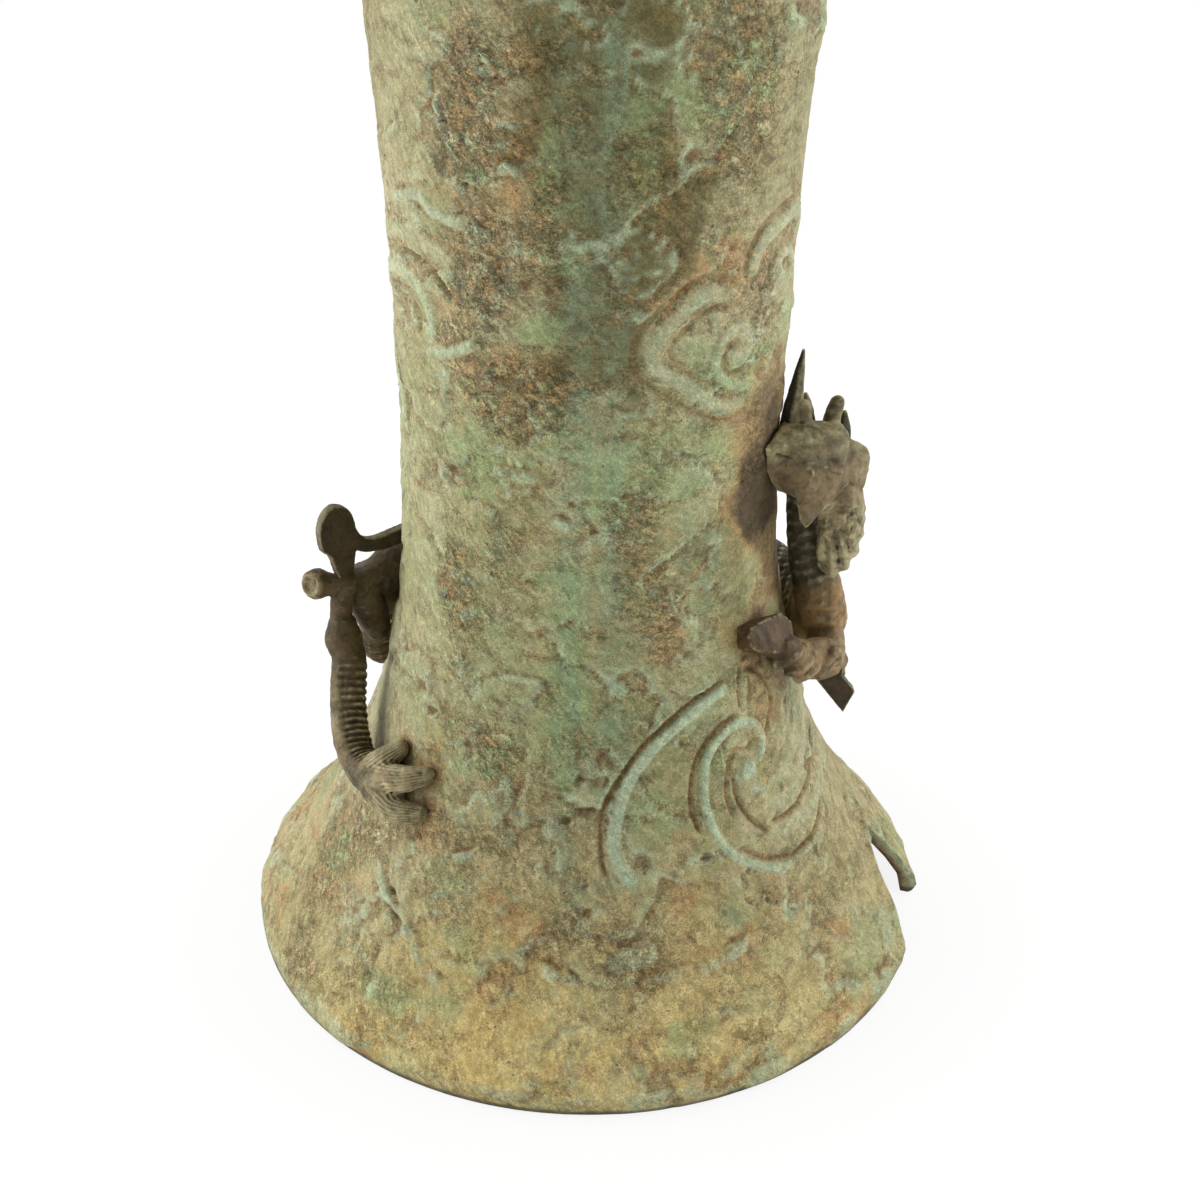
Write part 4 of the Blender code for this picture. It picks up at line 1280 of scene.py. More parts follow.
def trunk_profile():
    """(radius, height) points: evenly spaced up the outside, few down the inside."""
    fine = np.linspace(0.8 * MM, TRUNK_HEIGHT, 4000)
    run = np.concatenate(([0], np.cumsum(np.hypot(np.diff(fine), np.diff(trunk_radius(fine))))))
    heights = np.interp(np.linspace(0, run[-1], TRUNK_RINGS), run, fine)
    outer = list(zip(trunk_radius(heights), heights))
    inner = []
    for height in np.concatenate((np.linspace(8, 60, 10), np.linspace(68, 285, 12))) * MM:
        radius, up = trunk_inside(height)
        inner.append((float(radius), float(up)))
    inner[-1] = (inner[-1][0], TRUNK_HEIGHT)
    below = [point for point in inner if 2 * MM < point[1] < FLOOR_HEIGHT - 2 * MM]
    above = [point for point in inner if point[1] > FLOOR_HEIGHT + LEDGE_HEIGHT + 2 * MM]
    bore = inside_radius(FLOOR_HEIGHT)
    ledge = [
        (bore, FLOOR_HEIGHT),
        (bore - LEDGE_WIDTH, FLOOR_HEIGHT),
        (bore - LEDGE_WIDTH, FLOOR_HEIGHT + LEDGE_HEIGHT / 2),
        (inside_radius(FLOOR_HEIGHT + LEDGE_HEIGHT), FLOOR_HEIGHT + LEDGE_HEIGHT),
    ]
    foot = [(FOOT_RADIUS - TRUNK_WALL, 0), (FOOT_RADIUS - 0.9 * MM, 0)]
    return [*foot, *outer, *reversed([*below, *ledge, *above])]


def crowd_front(trunk):
    """Moves the mesh's upright lines closer together on the side with the drawn relief."""
    points = points_of(trunk)
    front = math.radians(FRONT_AZIMUTH)
    angle = np.arctan2(points[:, 1], points[:, 0])
    moved = angle - FRONT_CROWDING * np.sin(angle - front)
    radius = radius_of(points)
    points[:, 0] = radius * np.cos(moved)
    points[:, 1] = radius * np.sin(moved)
    move_points(trunk, points)


def ledges(points, size, stretch, seed):
    """Broken steps in the skin: each point's share of a step, of its edge, its foot and the rough below."""
    place = points + np.array((seed, 2 * seed, 0)) * size
    level = cast_noise(place, size, stretch)
    kept = ease(cast_noise(place, 0.8 * size, octaves=2), -0.12, 0.2)
    below = STEP_LEVEL - level
    step = ease(-below, -0.02, 0.03) * kept
    edge = np.exp(-((below / 0.04) ** 2)) * kept
    foot = np.exp(-(((below - 0.06) / 0.025) ** 2)) * kept
    rough = ease(below, 0, 0.06) * (1 - ease(below, 0.12, 0.34))
    return step, edge, foot, rough


def blotches(points, azimuth, height, seen, seed, scatter):
    """How far each point lies in ragged blotches: the seen ones, and others scattered all round."""
    uneven = cast_noise(points + 0.1 * seed, BLOTCH_SIZE, (1, 1, 1.3))

    def inside(patch):
        place, up, reach, rise, strength = patch
        gap = azimuth_gap(azimuth, place)
        far = np.hypot(gap / reach, (height - up) / rise) - 0.6 * uneven
        return strength * ease(1.15 - far, 0, 0.7)

    made = scatter * ease(uneven, 0.08, 0.5)
    for patch in CALM_PATCHES:
        made *= 1 - inside(patch)
    for patch in seen:
        made = np.maximum(made, inside(patch))
    return made


def ragged_offsets(points):
    """Small shifts that make a stroke's borders ragged."""
    shifts = [cast_noise(points + step, 4.5 * MM, octaves=3) for step in (0.1, 0.3, 0.7)]
    return 0.7 * MM * np.stack(shifts, -1)


def dragon_nearness(points):
    """How close each point is to the dragon, from 0 to 1."""
    castings = [vert.co for name in DRAGON_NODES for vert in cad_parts[name].data.vertices]
    return np.exp(-((gaps_to(castings, points) / STAIN_AND_SHADE_REACH) ** 1.6))


def refine_front(trunk):
    """Halves the mesh where the seen waves, clouds and ledges are drawn."""
    paths = [smooth_path(stations, 6) for _, stations in (*WAVE, *CLOUD, *STREAMERS)]
    paths += [smooth_path(stations, 6) for stations in SCARS]
    rows = np.vstack(paths)
    points = points_of(trunk)
    close = gaps_to(on_trunk(rows[:, 0], rows[:, 1]), points) < REFINE_REACH
    close &= radius_of(points) > trunk_radius(points[:, 2]) - 0.1 * MM
    halve_edges(trunk, close)


def draw_relief(relief, points, settings):
    """Draws the waves and clouds, the arches' borders and the scars; gives the rise of the first alone."""
    for turns, strokes, depth, green, dirt in DRAWINGS:
        for turn in turns:
            for kind, stations in strokes:
                turned = [(place + turn, up) for place, up in stations]
                shade = FLUTE_GREEN * green if kind is FLUTE else green
                relief.draw(kind, turned, settings.relief * depth, shade, dirt)
    drawn = relief.rise.copy()
    for azimuth in ARCH_AZIMUTHS:
        relief.border(arch_on_trunk(azimuth))
    relief.points = relief.points + ragged_offsets(points)
    wear = ease(cast_noise(points, SCAR_WEAR_SIZE), -0.35, 0.25)
    for stations in SCARS:
        raised = [(place, up + SCAR_STEP) for place, up in stations]
        relief.draw(SCAR_LEDGE, stations, settings.scars, SCAR_GREEN, 1.0, wear, SCAR_TAPER)
        # The sunk line above each ledge is coloured brown through the groove mark as a painted shadow of the
        # ledge
        relief.draw(SCAR_SHADOW, raised, settings.scars, 1.0, 1.0, wear, SCAR_TAPER)
    return drawn


def cast_skin(relief, points, rough, calm, settings):
    """Lumps, broken steps and crust of the casting: their rise, and where the skin is rough."""
    cast = 0.4 * cast_noise(points, 24 * MM) + 0.1 * cast_noise(points, 3.2 * MM, (1, 1, 1.5), 2)
    for size, stretch, seed in SKIN_STEPS:
        step, edge, foot, broken = ledges(points, size, stretch, seed)
        cast += settings.step_height / settings.roughness * (step - 0.8 * foot)
        rough = np.maximum(rough, 0.5 * broken)
        relief.ridge = np.maximum(relief.ridge, 0.7 * edge * calm)
        relief.groove = np.maximum(relief.groove, 0.7 * foot * calm)
    rough = rough * calm
    crust = ease(cast_noise(points, 7 * MM, (1, 1, 1.8), 4), -0.05, 0.08)
    cast += rough * (0.85 * crust + 0.3 * cast_noise(points, 2.6 * MM, (1, 1, 1.5), 2))
    return cast * (settings.roughness * (0.25 + 0.75 * calm)), rough


def streaks_down(azimuth):
    made = np.zeros(len(azimuth))
    for place, spread, strength in STREAKS:
        made = np.maximum(made, strength * np.exp(-((azimuth_gap(azimuth, place) / spread) ** 2)))
    return made


def make_trunk(settings, patina):
    trunk = new_object("trunk_cast", spun(trunk_profile(), TRUNK_STEPS))
    crowd_front(trunk)
    for arch in ARCH_AZIMUTHS:
        cut_arch(trunk, arch)
    refine_front(trunk)
    points = points_of(trunk)
    azimuth = np.degrees(np.arctan2(points[:, 1], points[:, 0]))
    height = points[:, 2] / MM
    depth = trunk_radius(points[:, 2]) - radius_of(points)
    outside = depth < SKIN_DEPTH
    relief = Relief(azimuth, height)
    drawn = draw_relief(relief, points, settings)
    calm = 1 - ease(np.abs(drawn), 0.05 * MM, 0.3 * MM)
    rough = blotches(points, azimuth, height, ROUGH_PATCHES, 0, 0.8)
    cast, rough = cast_skin(relief, points, rough, calm, settings)
    level_ends = ease(TRUNK_HEIGHT - points[:, 2], 0, 6 * MM) * ease(points[:, 2], 0, 3 * MM)
    rise = (relief.rise + cast) * level_ends
    radial, vertical = outward(points[:, 2])
    angle = np.radians(azimuth)
    normal = np.stack((radial * np.cos(angle), radial * np.sin(angle), vertical), -1)
    move_points(trunk, points + normal * (rise * outside)[:, None])
    mark(trunk, "ridge", np.clip(relief.ridge * outside, 0, 1))
    mark(trunk, "groove", np.clip(relief.groove * outside, 0, 1))
    mark(trunk, "streak", streaks_down(azimuth))
    mark(trunk, "rough", rough * outside)
    # The dark mark includes painted shade over the upper front centre
    for name, seen, seed, scatter in BLOTCHES:
        mark(trunk, name, blotches(points, azimuth, height, seen, seed, scatter) * outside)
    # Staining near the dragon, partly painted shade where it meets the trunk; the inner share darkens the
    # wall's inside, its underside and the inner part of the arch cuts
    spread = blotches(points, azimuth, height, NEAR_STAIN_AND_SHADE_PATCHES, 4, 0)
    inner = ease(depth, 0.6 * MM, 1.6 * MM)
    mark(trunk, "near_stain_and_shade", np.maximum(dragon_nearness(points), np.maximum(spread, inner)))
    mark_edges_and_hollows(trunk, 0.22 * MM, 2)
    finish_piece(trunk, patina_material("trunk_patina", patina, 1.0), "vase", "trunk_bronze", "trunk")


# Dish and liner


def make_dish(patina):
    seat = TRUNK_HEIGHT + GAP
    ledge = TRUNK_HEIGHT + SEAT_RISE
    tip = TRUNK_HEIGHT - SPIGOT_DEPTH
    spigot = [(inside_radius(height) - SPIGOT_PLAY, height) for height in (tip, TRUNK_HEIGHT)]
    bore = spigot[0][0] - SPIGOT_WALL
    recess = LINER_FLANGE + SPIGOT_PLAY
    brim = (DISH_RADIUS - 5 * MM, DISH_TOP - LIP_HEIGHT)
    neck = (MOUTH_RADIUS, seat)
    profile = [(bore, tip), *spigot, (spigot[1][0], seat), neck]
    profile += bend(neck, (MOUTH_RADIUS + 2 * MM, brim[1] - 6 * MM), brim, 46)
    profile += bend(brim, (DISH_RADIUS, brim[1]), (DISH_RADIUS, DISH_TOP - EDGE_ROUND), 8)
    profile += bend(profile[-1], (DISH_RADIUS, DISH_TOP), (DISH_RADIUS - EDGE_ROUND, DISH_TOP), 3)
    inside = (DISH_RADIUS - DISH_LIP, DISH_TOP - 0.4 * MM)
    basin = (brim[0] - 2 * MM, brim[1] + DISH_WALL)
    throat = (recess, ledge + 3 * MM)
    profile += bend(profile[-1], (inside[0], DISH_TOP), inside, 2)
    profile += bend(inside, (inside[0] - 1 * MM, basin[1]), basin, 8)
    profile += bend(basin, (recess + 4 * MM, basin[1] - 4 * MM), throat, 46)
    profile += [(recess, ledge), (bore, ledge)]
    dish = new_object("dish_cast", spun(profile, DISH_STEPS))
    points = points_of(dish)
    shown = ease(radius_of(points), recess + 3 * MM, recess + 9 * MM)
    shown *= ease(DISH_TOP - points[:, 2], 0.5 * MM, 3 * MM)
    cast = 0.2 * cast_noise(points, 9 * MM, (1, 1, 1), 4) + 0.2 * cast_noise(points, 40 * MM)
    move_points(dish, points + normals_of(dish) * (shown * cast * MM)[:, None])
    for name in ("ridge", "groove", "near_stain_and_shade"):
        mark(dish, name, np.zeros(len(points)))
    for name, seed, scatter, least in DISH_BLOTCHES:
        mark(dish, name, np.maximum(blotches(points, 0, 0, (), seed, scatter), least))
    mark(dish, "streak", 0.5 * ease(cast_noise(points, 60 * MM), 0.05, 0.5))
    mark_edges_and_hollows(dish, 0.2 * MM, 2)
    finish_piece(dish, patina_material("dish_patina", patina, 0.5), "dish", "trunk_bronze", "dish")


def make_liner(settings):
    inner = LINER_RADIUS - LINER_WALL
    bottom, top = LINER_LOW.z, LINER_HIGH.z
    floor_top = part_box("liner_floor")[1].z
    under = top - LINER_WALL
    profile = [(0, bottom), (LINER_RADIUS - 1.5 * MM, bottom)]
    profile += bend(profile[-1], (LINER_RADIUS, bottom), (LINER_RADIUS, bottom + 1.5 * MM), 4)
    profile += [(LINER_RADIUS, bottom + (under - bottom) * k / 12) for k in range(1, 12)]
    profile += [(LINER_RADIUS, under - 1 * MM)]
    profile += [(LINER_RADIUS + GAP, under), (LINER_FLANGE - EDGE_ROUND, under)]
    profile += bend(profile[-1], (LINER_FLANGE, under), (LINER_FLANGE, under + EDGE_ROUND), 3)
    profile += bend(profile[-1], (LINER_FLANGE, top), (LINER_FLANGE - EDGE_ROUND, top), 3)
    profile += [(inner + LINER_ROUND, top)]
    profile += bend(profile[-1], (inner, top), (inner, top - LINER_ROUND), 4)
    profile += [(inner, top - (top - floor_top) * k / 12) for k in range(1, 12)]
    profile += bend((inner, floor_top + 1.4 * MM), (inner, floor_top), (inner - 1.4 * MM, floor_top), 3)
    profile += [(inner * share, floor_top) for share in (0.7, 0.4, 0)]
    liner = new_object("liner_sheet", spun(profile, LINER_STEPS, closed=False))
    finish_piece(liner, copper_material(settings), "liner", "liner_copper", "liner_cup", "liner_floor")


# Dragon


def limb_path(stations, layout=AS_DRAWN):
    """World (x, y, z, radius) rows along a limb, mirrored and turned about the trunk by the layout."""
    sign, turn = layout
    known = []
    for azimuth, height, stand_off, radius in stations:
        known.append((*on_trunk(sign * azimuth + turn, height, stand_off), radius * MM))
    return smooth_path(known, LIMB_STEPS)


def ribs(turns):
    """Rings round a limb: 0 on their crests and -1 in the cuts between."""
    return np.sqrt(0.5 + 0.5 * np.cos(math.tau * turns)) - 1


def scales(points, place, pitch, count):
    """Overlapping scales in staggered rows, from -0.6 between them to 0.4 on them."""
    turn = place.turn(outward_of(points))
    made = np.zeros(len(points))
    for row_shift in (0.0, 0.5):
        along = place.run / pitch + row_shift
        across = turn * count + row_shift
        u = across - np.round(across)
        v = along - np.floor(along)
        made = np.maximum(made, (1 - (u / 0.55) ** 2) * (1 - (1 - v) ** 2) * (v < 0.98))
    return np.clip(made, 0, 1) - 0.6


def press(obj, depth):
    """Moves the skin in or out along its normals."""
    move_points(obj, points_of(obj) + normals_of(obj) * depth[:, None])


def roughen(obj, depth):
    points = points_of(obj)
    press(obj, depth * (cast_noise(points, 2.4 * MM, octaves=3) + 0.8 * cast_noise(points, 6 * MM)))


def dimple(obj, place, axis, radius, depth):
    """Sinks a round hollow along an axis."""
    points = points_of(obj)
    gap = np.linalg.norm(points - place, axis=1)
    move_points(obj, points + ease(radius - gap, 0, 0.6 * radius)[:, None] * depth * np.array(axis))


def outward_of(points):
    return points * np.array((1, 1, 0))


def finish_casting(obj, material, node, warm, pale):
    seat_on_trunk(obj)
    count = len(obj.data.vertices)
    mark(obj, "warm", np.ones(count) * warm)
    mark(obj, "pale", np.ones(count) * pale)
    mark_edges_and_hollows(obj, 0.16 * MM, 3)
    finish_piece(obj, material, "vase", "dragon_bronze", node)


def make_body(dragon, material):
    path = limb_path(BODY)
    body = melt_limbs("dragon_body_cast", [path], 32, dragon.fineness * 1.2)
    points = points_of(body)
    place = Along(points, path)
    neck = 1 - ease(place.share, 0.1, 0.14)
    back = ease(place.share, 0.2, 0.26)
    depth = neck * 0.35 * dragon.rib_depth * ribs(place.run / NECK_RIB)
    depth += back * dragon.scale_height * scales(points, place, *BODY_SCALES)
    press(body, depth)
    roughen(body, 0.22 * MM)
    warm = ease(place.share, 0.12, 0.16) * (1 - ease(place.share, 0.22, 0.3))
    finish_casting(body, material, "dragon_body", warm, 0.08 + 0.2 * warm + 0.12 * neck)
    path = limb_path(TAIL)
    tail = melt_limbs("dragon_tail_cast", [path], 32, dragon.fineness)
    points = points_of(tail)
    place = Along(points, path)
    fade = 1 - 0.7 * place.share
    press(tail, fade * dragon.scale_height * scales(points, place, *TAIL_SCALES))
    roughen(tail, 0.1 * MM)
    finish_casting(tail, material, "dragon_tail", 0.2, 0.1)


def head_frame():
    turn = Matrix.Rotation(math.radians(HEAD_HEADING), 4, "Z")
    return Matrix.Translation(Vector(on_trunk(*HEAD_PLACE))) @ turn


def add_head_loft(bm, rings):
    """A closed loft of rings that run to points at their sides."""
    place = head_frame()
    made = []
    rows = smooth_path(rings, 4)
    for k, (height, across, half_width, back, half_depth) in enumerate(rows.tolist()):
        capped = k in (0, len(rows) - 1)
        verts = bmesh.ops.create_circle(bm, cap_ends=capped, radius=1, segments=BEARD_SIDES)["verts"]
        for vert in verts:
            x = across + half_width * math.copysign(abs(vert.co.x) ** HEAD_POINT, vert.co.x)
            y = back + half_depth * math.copysign(abs(vert.co.y) ** HEAD_POINT, vert.co.y)
            vert.co = place @ (Vector((x, y, height)) * MM)
        made.append(ring_edges(verts))
    skin(bm, made)


def add_block(bm, corners, middle=(0, 0, 0)):
    """A faceted block over its corner points."""
    made = [bm.verts.new(Vector(middle) + Vector(corner) * MM) for corner in corners]
    bmesh.ops.convex_hull(bm, input=made)


def head_path(points):
    place = head_frame()
    rows = [(*(place @ (Vector(row[:3]) * MM)), row[3] * MM) for row in points]
    return smooth_path(rows, FREE_STEPS)


def free_path(rows):
    """A path through (right, back, up, radius) rows in millimetres."""
    return smooth_path(np.array(rows) * MM, FREE_STEPS)


def make_head(dragon, material):
    centre = on_trunk(*HEAD_PLACE)
    bm = bmesh.new()
    for corners in HEAD_BLOCKS:
        add_block(bm, corners, centre.tolist())
    add_head_loft(bm, BEARD_RINGS)
    for ear in EARS:
        add_limb(bm, head_path(ear), 16)
    head = fuse("dragon_head_cast", bm, dragon.fineness * 0.7, 6)
    for eye in EYES:
        dimple(head, centre + np.array(eye) * MM, (0, 1, 0), EYE_RADIUS, EYE_DEPTH)
    points = points_of(head)
    local = (points - centre) / MM
    across, up = local[:, 0], local[:, 2]
    beard = ease(-up - 0.35 * across, 8, 11) * ease(across, -1, 3)
    root_across, root_up = BEARD_ROOT
    fan = np.arctan2(across - root_across, root_up - up)
    border = ease(np.hypot(across - root_across, up - root_up), 13, 21)
    flutes = np.cos(fan * BEARD_FLUTES) * border
    lumps = cast_noise(points, 2 * MM, (1, 1, 0.8), 3) * (1 - 0.6 * border)
    press(head, beard * (0.42 * flutes + 0.6 * lumps) * MM)
    below = np.interp(across, *np.transpose(BROW_LINE)) - up
    front = ease(-normals_of(head)[:, 1], 0.2, 0.5) * ease(across, -14, -12) * (1 - ease(across, 3, 5))
    fold = 0.3 * np.exp(-(((below + 1.6) / 1.2) ** 2)) - 0.5 * np.exp(-((below / 0.9) ** 2))
    press(head, front * fold * MM)
    roughen(head, 0.16 * MM)
    level = ease(normals_of(head)[:, 2], 0.4, 0.75) * ease(up, 4, 6)
    tip = ease(5 - np.linalg.norm(local - np.array(BROW_TIP), axis=1), 0, 4)
    pale = 0.28 + 0.22 * ease(up, 0, 3) + 0.25 * ease(across, 8, 11)
    pale += 0.45 * level + 0.7 * tip + 0.7 * beard
    warm = 0.12 + 0.2 * ease(-up, -1, 2) * (1 - beard)
    finish_casting(head, material, "dragon_head", warm, np.clip(pale, 0, 0.95))
    for name, horn, pale, side in (("horn_long", LONG_HORN, 0.05, 0.7), ("horn_short", SHORT_HORN, 0.2, 0.0)):
        made = melt_limbs(f"{name}_cast", [head_path(horn)], 6, dragon.fineness * 0.6, 2)
        roughen(made, 0.08 * MM)
        finish_casting(made, material, name, 0.0, pale + side * ease(normals_of(made)[:, 0], 0.0, 0.4))


def rib_forearm(leg, path, depth):
    """Rings that get finer toward the paw and stop short of a smooth outer ridge."""
    points = points_of(leg)
    place = Along(points, path)
    band = ease(place.share, 0.12, 0.16) * (1 - ease(place.share, 0.76, 0.86))
    out = outward_of(points)
    lean = np.einsum("ij,ij->i", place.offset, out) / np.maximum(
        np.linalg.norm(place.offset, axis=1) * np.linalg.norm(out, axis=1), 1e-9
    )
    ridge = ease(lean, 0.35, 0.75)
    narrowing = WIDE_RIB - CLOSE_RIB
    pitch = WIDE_RIB - narrowing * np.clip(place.share, 0, 1)
    turns = place.length / narrowing * np.log(WIDE_RIB / pitch)
    on_limb = place.on_limb() * band
    turns += 0.16 * cast_noise(points, 5 * MM, octaves=2)
    press(leg, on_limb * depth * (ribs(turns) * (1 - ridge) + 0.3 * ridge))
    return place.on_limb() * ridge * band


def flute_toes(leg, paths, depth):
    """Fine lines along the toes; gives how far each point is on a toe."""
    rows = np.vstack(paths)
    centres, radii = rows[:, :3], rows[:, 3]
    gaps = [np.min(np.linalg.norm(centres - point, axis=1) - radii) for point in points_of(leg)]
    halve_edges(leg, np.array(gaps) < 1.5 * MM)
    on_toes = np.zeros(len(leg.data.vertices))
    for path in paths:
        points = points_of(leg)
        place = Along(points, path)
        on_toe = place.on_limb(1.15) * ease(place.share, -0.4, 0.3)
        press(leg, on_toe * depth * np.cos(math.tau * place.turn(outward_of(points)) * TOE_LINES))
        on_toes = np.maximum(on_toes, on_toe)
    return on_toes


def make_gripping_leg(dragon, node, bones, layout, limbs=()):
    """A ribbed forearm that ends in three fluted toes, with further limbs above it; gives its marks too."""
    forearm = limb_path(bones, layout)
    toes = [limb_path(toe, layout) for toe in HIND_TOES]
    leg = melt_limbs(f"{node}_cast", (forearm, *toes, *limbs), 24, dragon.fineness * 0.75, 3)
    on_toes = flute_toes(leg, toes, TOE_LINE_DEPTH)
    ridge = rib_forearm(leg, forearm, dragon.rib_depth)
    roughen(leg, 0.18 * MM)
    return leg, 0.2, np.maximum(0.08 + 0.45 * ridge, on_toes)


def make_fore_leg(dragon, material):
    bm = bmesh.new()
    add_limb(bm, limb_path(FORE_ARM), 24)
    add_block(bm, FORE_BLOCK)
    for fold in FORE_FOLDS:
        add_limb(bm, free_path(fold), 16)
    leg = fuse("foreleg_right_cast", bm, dragon.fineness * 0.7, 9)
    roughen(leg, 0.22 * MM)
    right = points_of(leg)[:, 0] / MM
    folds = ease(right, 52, 57)
    finish_casting(leg, material, "foreleg_right", 0.24 + 0.4 * folds, 0.35 * folds)


def make_legs(dragon, material):
    limbs = (
        limb_path(HIND_LIMB),
        limb_path(HIND_SPUR),
        limb_path(HIND_CUFF),
        free_path(HIND_HIP),
        free_path(HIND_WEB),
    )
    leg, warm, pale = make_gripping_leg(dragon, "hindleg_left", HIND_FOREARM, AS_DRAWN, limbs)
    knob = limb_path(HIND_SPUR)[-1]
    facing = np.array(KNOB_FACING)
    face = knob[:3] + facing * knob[3]
    dimple(leg, face, -facing, KNOB_HOLLOW, KNOB_DEPTH)
    on_face = np.linalg.norm(points_of(leg) - face, axis=1)
    pale = np.maximum(pale, 0.8 * ease(1.4 * KNOB_HOLLOW - on_face, 0, 1 * MM))
    finish_casting(leg, material, "hindleg_left", warm, pale)
    for node, layout in (("hindleg_right", HIND_MIRROR), ("foreleg_left", FORE_TURN)):
        leg, warm, pale = make_gripping_leg(dragon, node, HIDDEN_FOREARM, layout)
        finish_casting(leg, material, node, warm, pale)
    make_fore_leg(dragon, material)


def hind_flame_outline():
    """A hooked scroll whose ribbon runs back to the trunk."""
    tip = (-4.4, 110)
    crown = (-0.5, 122.4)
    neck = (5.8, 115)
    ribbon = (12, 110.4)
    under = (26, 108)
    outline = [tip]
    outline += bend(tip, (-6.5, 119.5), crown, 10)
    outline += bend(crown, (5.2, 123), neck, 10)
    outline += bend(neck, (7.4, 110.4), ribbon, 8)
    outline += [(26, 112.4), under]
    outline += bend(under, (11, 104.6), (5.2, 108.4), 10)
    outline += [(4.4, 104), (4.4, 98.5), (0.4, 98.5), (-1.4, 105)]
    return outline + bend((-1.4, 105), (-2, 109), (-4, 109.6), 6)


def fore_flame_outline():
    """A square-cut spur below the elbow."""
    return [(-4, 85.5), (0.5, 85.5), (0.9, 79), (4.9, 74), (2.1, 67.2), (-6.2, 77.6)]


def make_flame(dragon, material, node, outline, place, turn):
    heading = math.radians(place[0] + turn)
    along = Vector((math.cos(heading), math.sin(heading), 0))
    across = along.cross(Vector((0, 0, 1))) * FLAME_THICKNESS
    origin = Vector((*on_trunk(*place)[:2], 0)) - across / 2
    bm = slab([(s * MM, z * MM) for s, z in outline], origin, along, across)
    flame = fuse(f"{node}_cast", bm, dragon.fineness * 0.6, 3)
    roughen(flame, 0.1 * MM)
    facing = np.abs(normals_of(flame) @ np.array(across.normalized()))
    finish_casting(flame, material, node, 0.1, 0.45 * ease(1 - facing, 0.4, 0.8))


def make_flames(dragon, material):
    make_flame(dragon, material, "flame_hind_left", hind_flame_outline(), HIND_FLAME_PLACE, HIND_FLAME_TURN)
    make_flame(dragon, material, "flame_fore_right", fore_flame_outline(), FORE_FLAME_PLACE, FORE_FLAME_TURN)


def paint_fittings(material):
    """The floor plate and the rivets keep their CAD shape."""
    for name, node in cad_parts.items():
        if name == "trunk_floor" or name.startswith("rivet_"):
            node.data.materials.clear()
            node.data.materials.append(material)


# Stage


def add_lamp(name, place, size, power):
    data = bpy.data.lights.new(name, "AREA")
    data.shape = "DISK"
    data.size = size
    data.energy = power
    lamp = bpy.data.objects.new(name, data)
    turn = (Vector(LAMP_AIM) - Vector(place)).to_track_quat("-Z", "Y")
    lamp.matrix_world = Matrix.Translation(place) @ turn.to_matrix().to_4x4()
    bpy.context.scene.collection.objects.link(lamp)


def seen_directly(paint):
    """1 for rays that show the background itself."""
    rays = paint.node("ShaderNodeLightPath", {}).outputs
    shown = paint.math("MAXIMUM", rays["Is Camera Ray"], rays["Is Glossy Ray"])
    return paint.math("MAXIMUM", shown, rays["Is Transmission Ray"])


def make_world(ambient):
    world = bpy.data.worlds.new("studio")
    bpy.context.scene.world = world
    world.use_nodes = True
    paint = Painter(world.node_tree)
    sky = world.node_tree.nodes["Background"]
    sky.inputs["Color"].default_value = (1, 1, 1, 1)
    paint.join(sky.inputs["Strength"], paint.ramp(seen_directly(paint), 0, 1, ambient, 1.0))


def make_floor():
    bm = bmesh.new()
    bmesh.ops.create_grid(bm, x_segments=1, y_segments=1, size=FLOOR_SIZE)
    floor = new_object("studio_floor", bm)
    made, paint, shader = start_material("studio_white")
    shader.inputs["Base Color"].default_value = FLOOR_COLOUR
    shader.inputs["Roughness"].default_value = 0.9
    glow = paint.node("ShaderNodeEmission", {"Color": (1, 1, 1), "Strength": 1.0}).outputs[0]
    away = paint.node("ShaderNodeVectorMath", {0: paint.place()}, operation="LENGTH").outputs["Value"]
    share = paint.times(seen_directly(paint), paint.ramp(away, 0.15, 1.0, 0.88, 1.0))
    both = paint.node("ShaderNodeMixShader", {0: share, 1: shader.outputs[0], 2: glow}).outputs[0]
    paint.join(made.node_tree.nodes["Material Output"].inputs["Surface"], both)
    floor.data.materials.append(made)


def make_camera(lens):
    data = bpy.data.cameras.new("camera")
    data.sensor_width = SENSOR_WIDTH
    data.lens = lens
    data.clip_start = 0.01
    camera = bpy.data.objects.new("camera", data)
    axes = Matrix((CAMERA_RIGHT, CAMERA_UP, CAMERA_BACK)).transposed().to_4x4()
    camera.matrix_world = Matrix.Translation(CAMERA_PLACE) @ axes
    bpy.context.scene.collection.objects.link(camera)
    bpy.context.scene.camera = camera


def make_stage(stage):
    make_camera(stage.lens)
    make_world(stage.ambient)
    make_floor()
    for name, place, share in SIDE_LAMPS:
        add_lamp(name, place, SIDE_LAMP_SIZE, stage.side_light * share)
    add_lamp("top_lamp", TOP_LAMP_PLACE, TOP_LAMP_SIZE, stage.top_light)
    bpy.context.scene.view_settings.view_transform = "Standard"


# Operators


def shared_dragon_material(context):
    return bpy.data.materials.get("dark_dragon_bronze") or dragon_material(context.scene.usubata_dragon)


class USUBATA_OT_stage(bpy.types.Operator):
    """Sets up the camera, floor and soft studio light"""

    bl_idname = "usubata.stage"
    bl_label = "Stage"

    def execute(self, context):
        make_stage(context.scene.usubata_stage)
        return {"FINISHED"}


class USUBATA_OT_trunk(bpy.types.Operator):
    """Casts the trunk with its waves, clouds and scars"""

    bl_idname = "usubata.trunk"
    bl_label = "Trunk"

    def execute(self, context):
        make_trunk(context.scene.usubata_trunk, context.scene.usubata_patina)
        return {"FINISHED"}


class USUBATA_OT_dish(bpy.types.Operator):
    """Casts the wide dish"""

    bl_idname = "usubata.dish"
    bl_label = "Dish"

    def execute(self, context):
        make_dish(context.scene.usubata_patina)
        return {"FINISHED"}


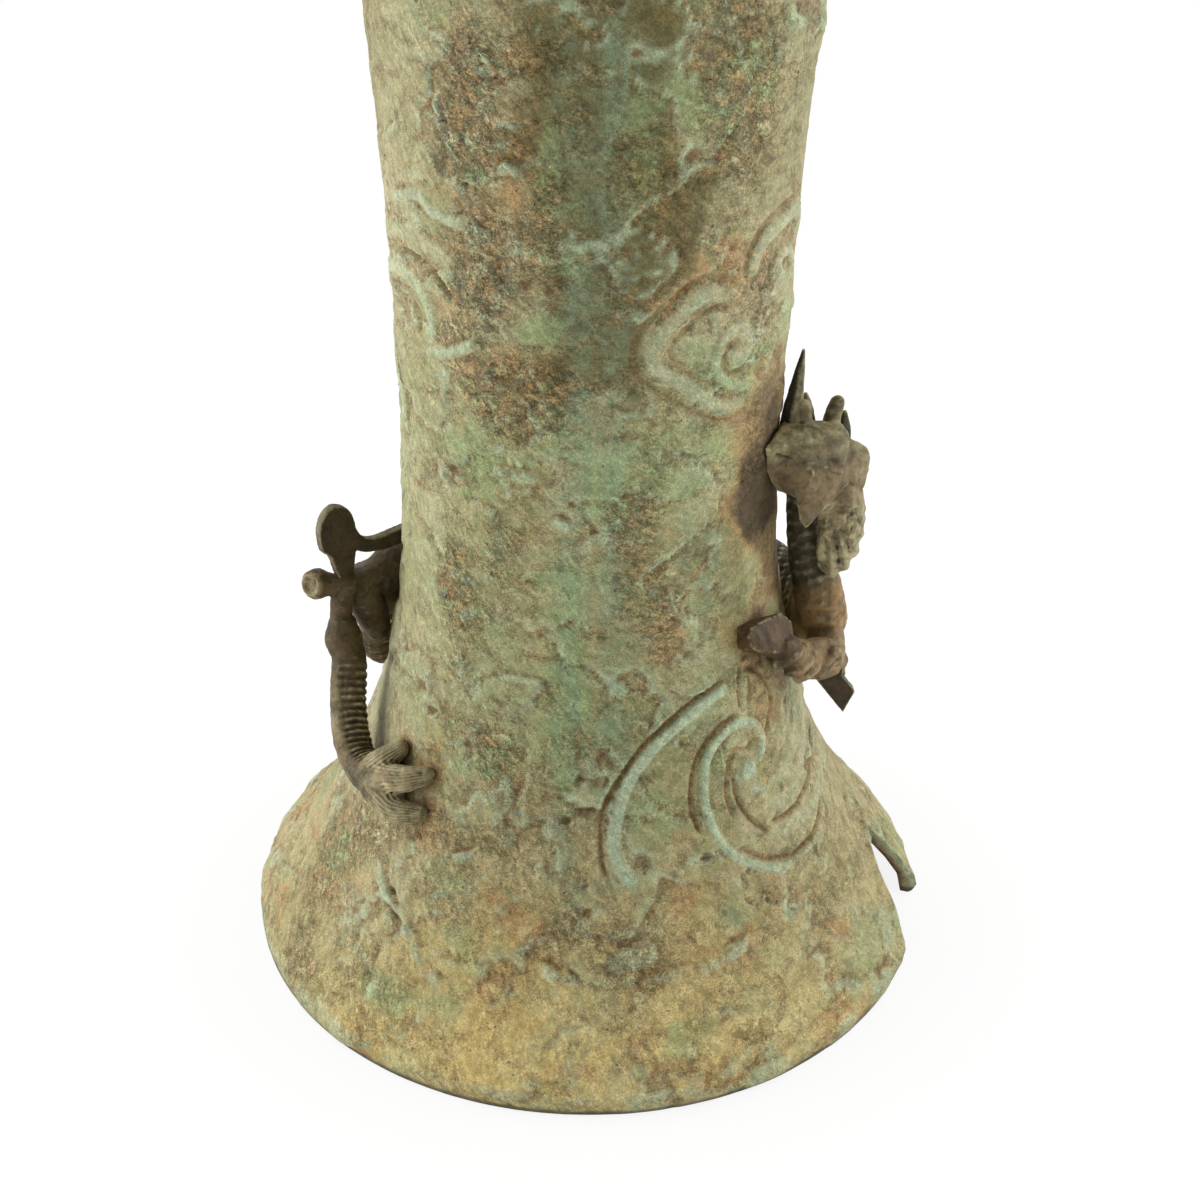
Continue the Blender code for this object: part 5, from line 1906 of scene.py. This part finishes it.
class USUBATA_OT_liner(bpy.types.Operator):
    """Makes the copper water liner"""

    bl_idname = "usubata.liner"
    bl_label = "Liner"

    def execute(self, context):
        make_liner(context.scene.usubata_liner)
        return {"FINISHED"}


class USUBATA_OT_body(bpy.types.Operator):
    """Models the dragon's neck, body and tail"""

    bl_idname = "usubata.body"
    bl_label = "Dragon's body"

    def execute(self, context):
        make_body(context.scene.usubata_dragon, shared_dragon_material(context))
        return {"FINISHED"}


class USUBATA_OT_head(bpy.types.Operator):
    """Models the dragon's head and horns"""

    bl_idname = "usubata.head"
    bl_label = "Dragon's head"

    def execute(self, context):
        make_head(context.scene.usubata_dragon, shared_dragon_material(context))
        return {"FINISHED"}


class USUBATA_OT_legs(bpy.types.Operator):
    """Models the dragon's four legs"""

    bl_idname = "usubata.legs"
    bl_label = "Dragon's legs"

    def execute(self, context):
        make_legs(context.scene.usubata_dragon, shared_dragon_material(context))
        return {"FINISHED"}


class USUBATA_OT_flames(bpy.types.Operator):
    """Models the flat flames on the legs"""

    bl_idname = "usubata.flames"
    bl_label = "Flames"

    def execute(self, context):
        make_flames(context.scene.usubata_dragon, shared_dragon_material(context))
        return {"FINISHED"}


class USUBATA_OT_fittings(bpy.types.Operator):
    """Paints the floor plate and the rivets"""

    bl_idname = "usubata.fittings"
    bl_label = "Floor plate and rivets"

    def execute(self, context):
        paint_fittings(shared_dragon_material(context))
        return {"FINISHED"}


STEPS = ("stage", "trunk", "dish", "liner", "body", "head", "legs", "flames", "fittings")


class USUBATA_PT_panel(bpy.types.Panel):
    """Lists the steps that finish the vase"""

    bl_idname = "USUBATA_PT_panel"
    bl_label = "Usubata"
    bl_space_type = "VIEW_3D"
    bl_region_type = "UI"
    bl_category = "Usubata"

    def draw(self, context):
        for step in STEPS:
            self.layout.operator(f"usubata.{step}")


GROUPS = {
    "usubata_patina": UsubataPatina,
    "usubata_dragon": UsubataDragon,
    "usubata_trunk": UsubataTrunk,
    "usubata_liner": UsubataLiner,
    "usubata_stage": UsubataStage,
}
CLASSES = (
    *GROUPS.values(),
    USUBATA_OT_stage,
    USUBATA_OT_trunk,
    USUBATA_OT_dish,
    USUBATA_OT_liner,
    USUBATA_OT_body,
    USUBATA_OT_head,
    USUBATA_OT_legs,
    USUBATA_OT_flames,
    USUBATA_OT_fittings,
    USUBATA_PT_panel,
)


def register():
    for made in CLASSES:
        bpy.utils.register_class(made)
    for name, group in GROUPS.items():
        setattr(bpy.types.Scene, name, PointerProperty(type=group))


def unregister():
    for name in GROUPS:
        delattr(bpy.types.Scene, name)
    for made in reversed(CLASSES):
        bpy.utils.unregister_class(made)


def main():
    register()
    for step in STEPS:
        getattr(bpy.ops.usubata, step)()


if __name__ == "__main__":
    main()
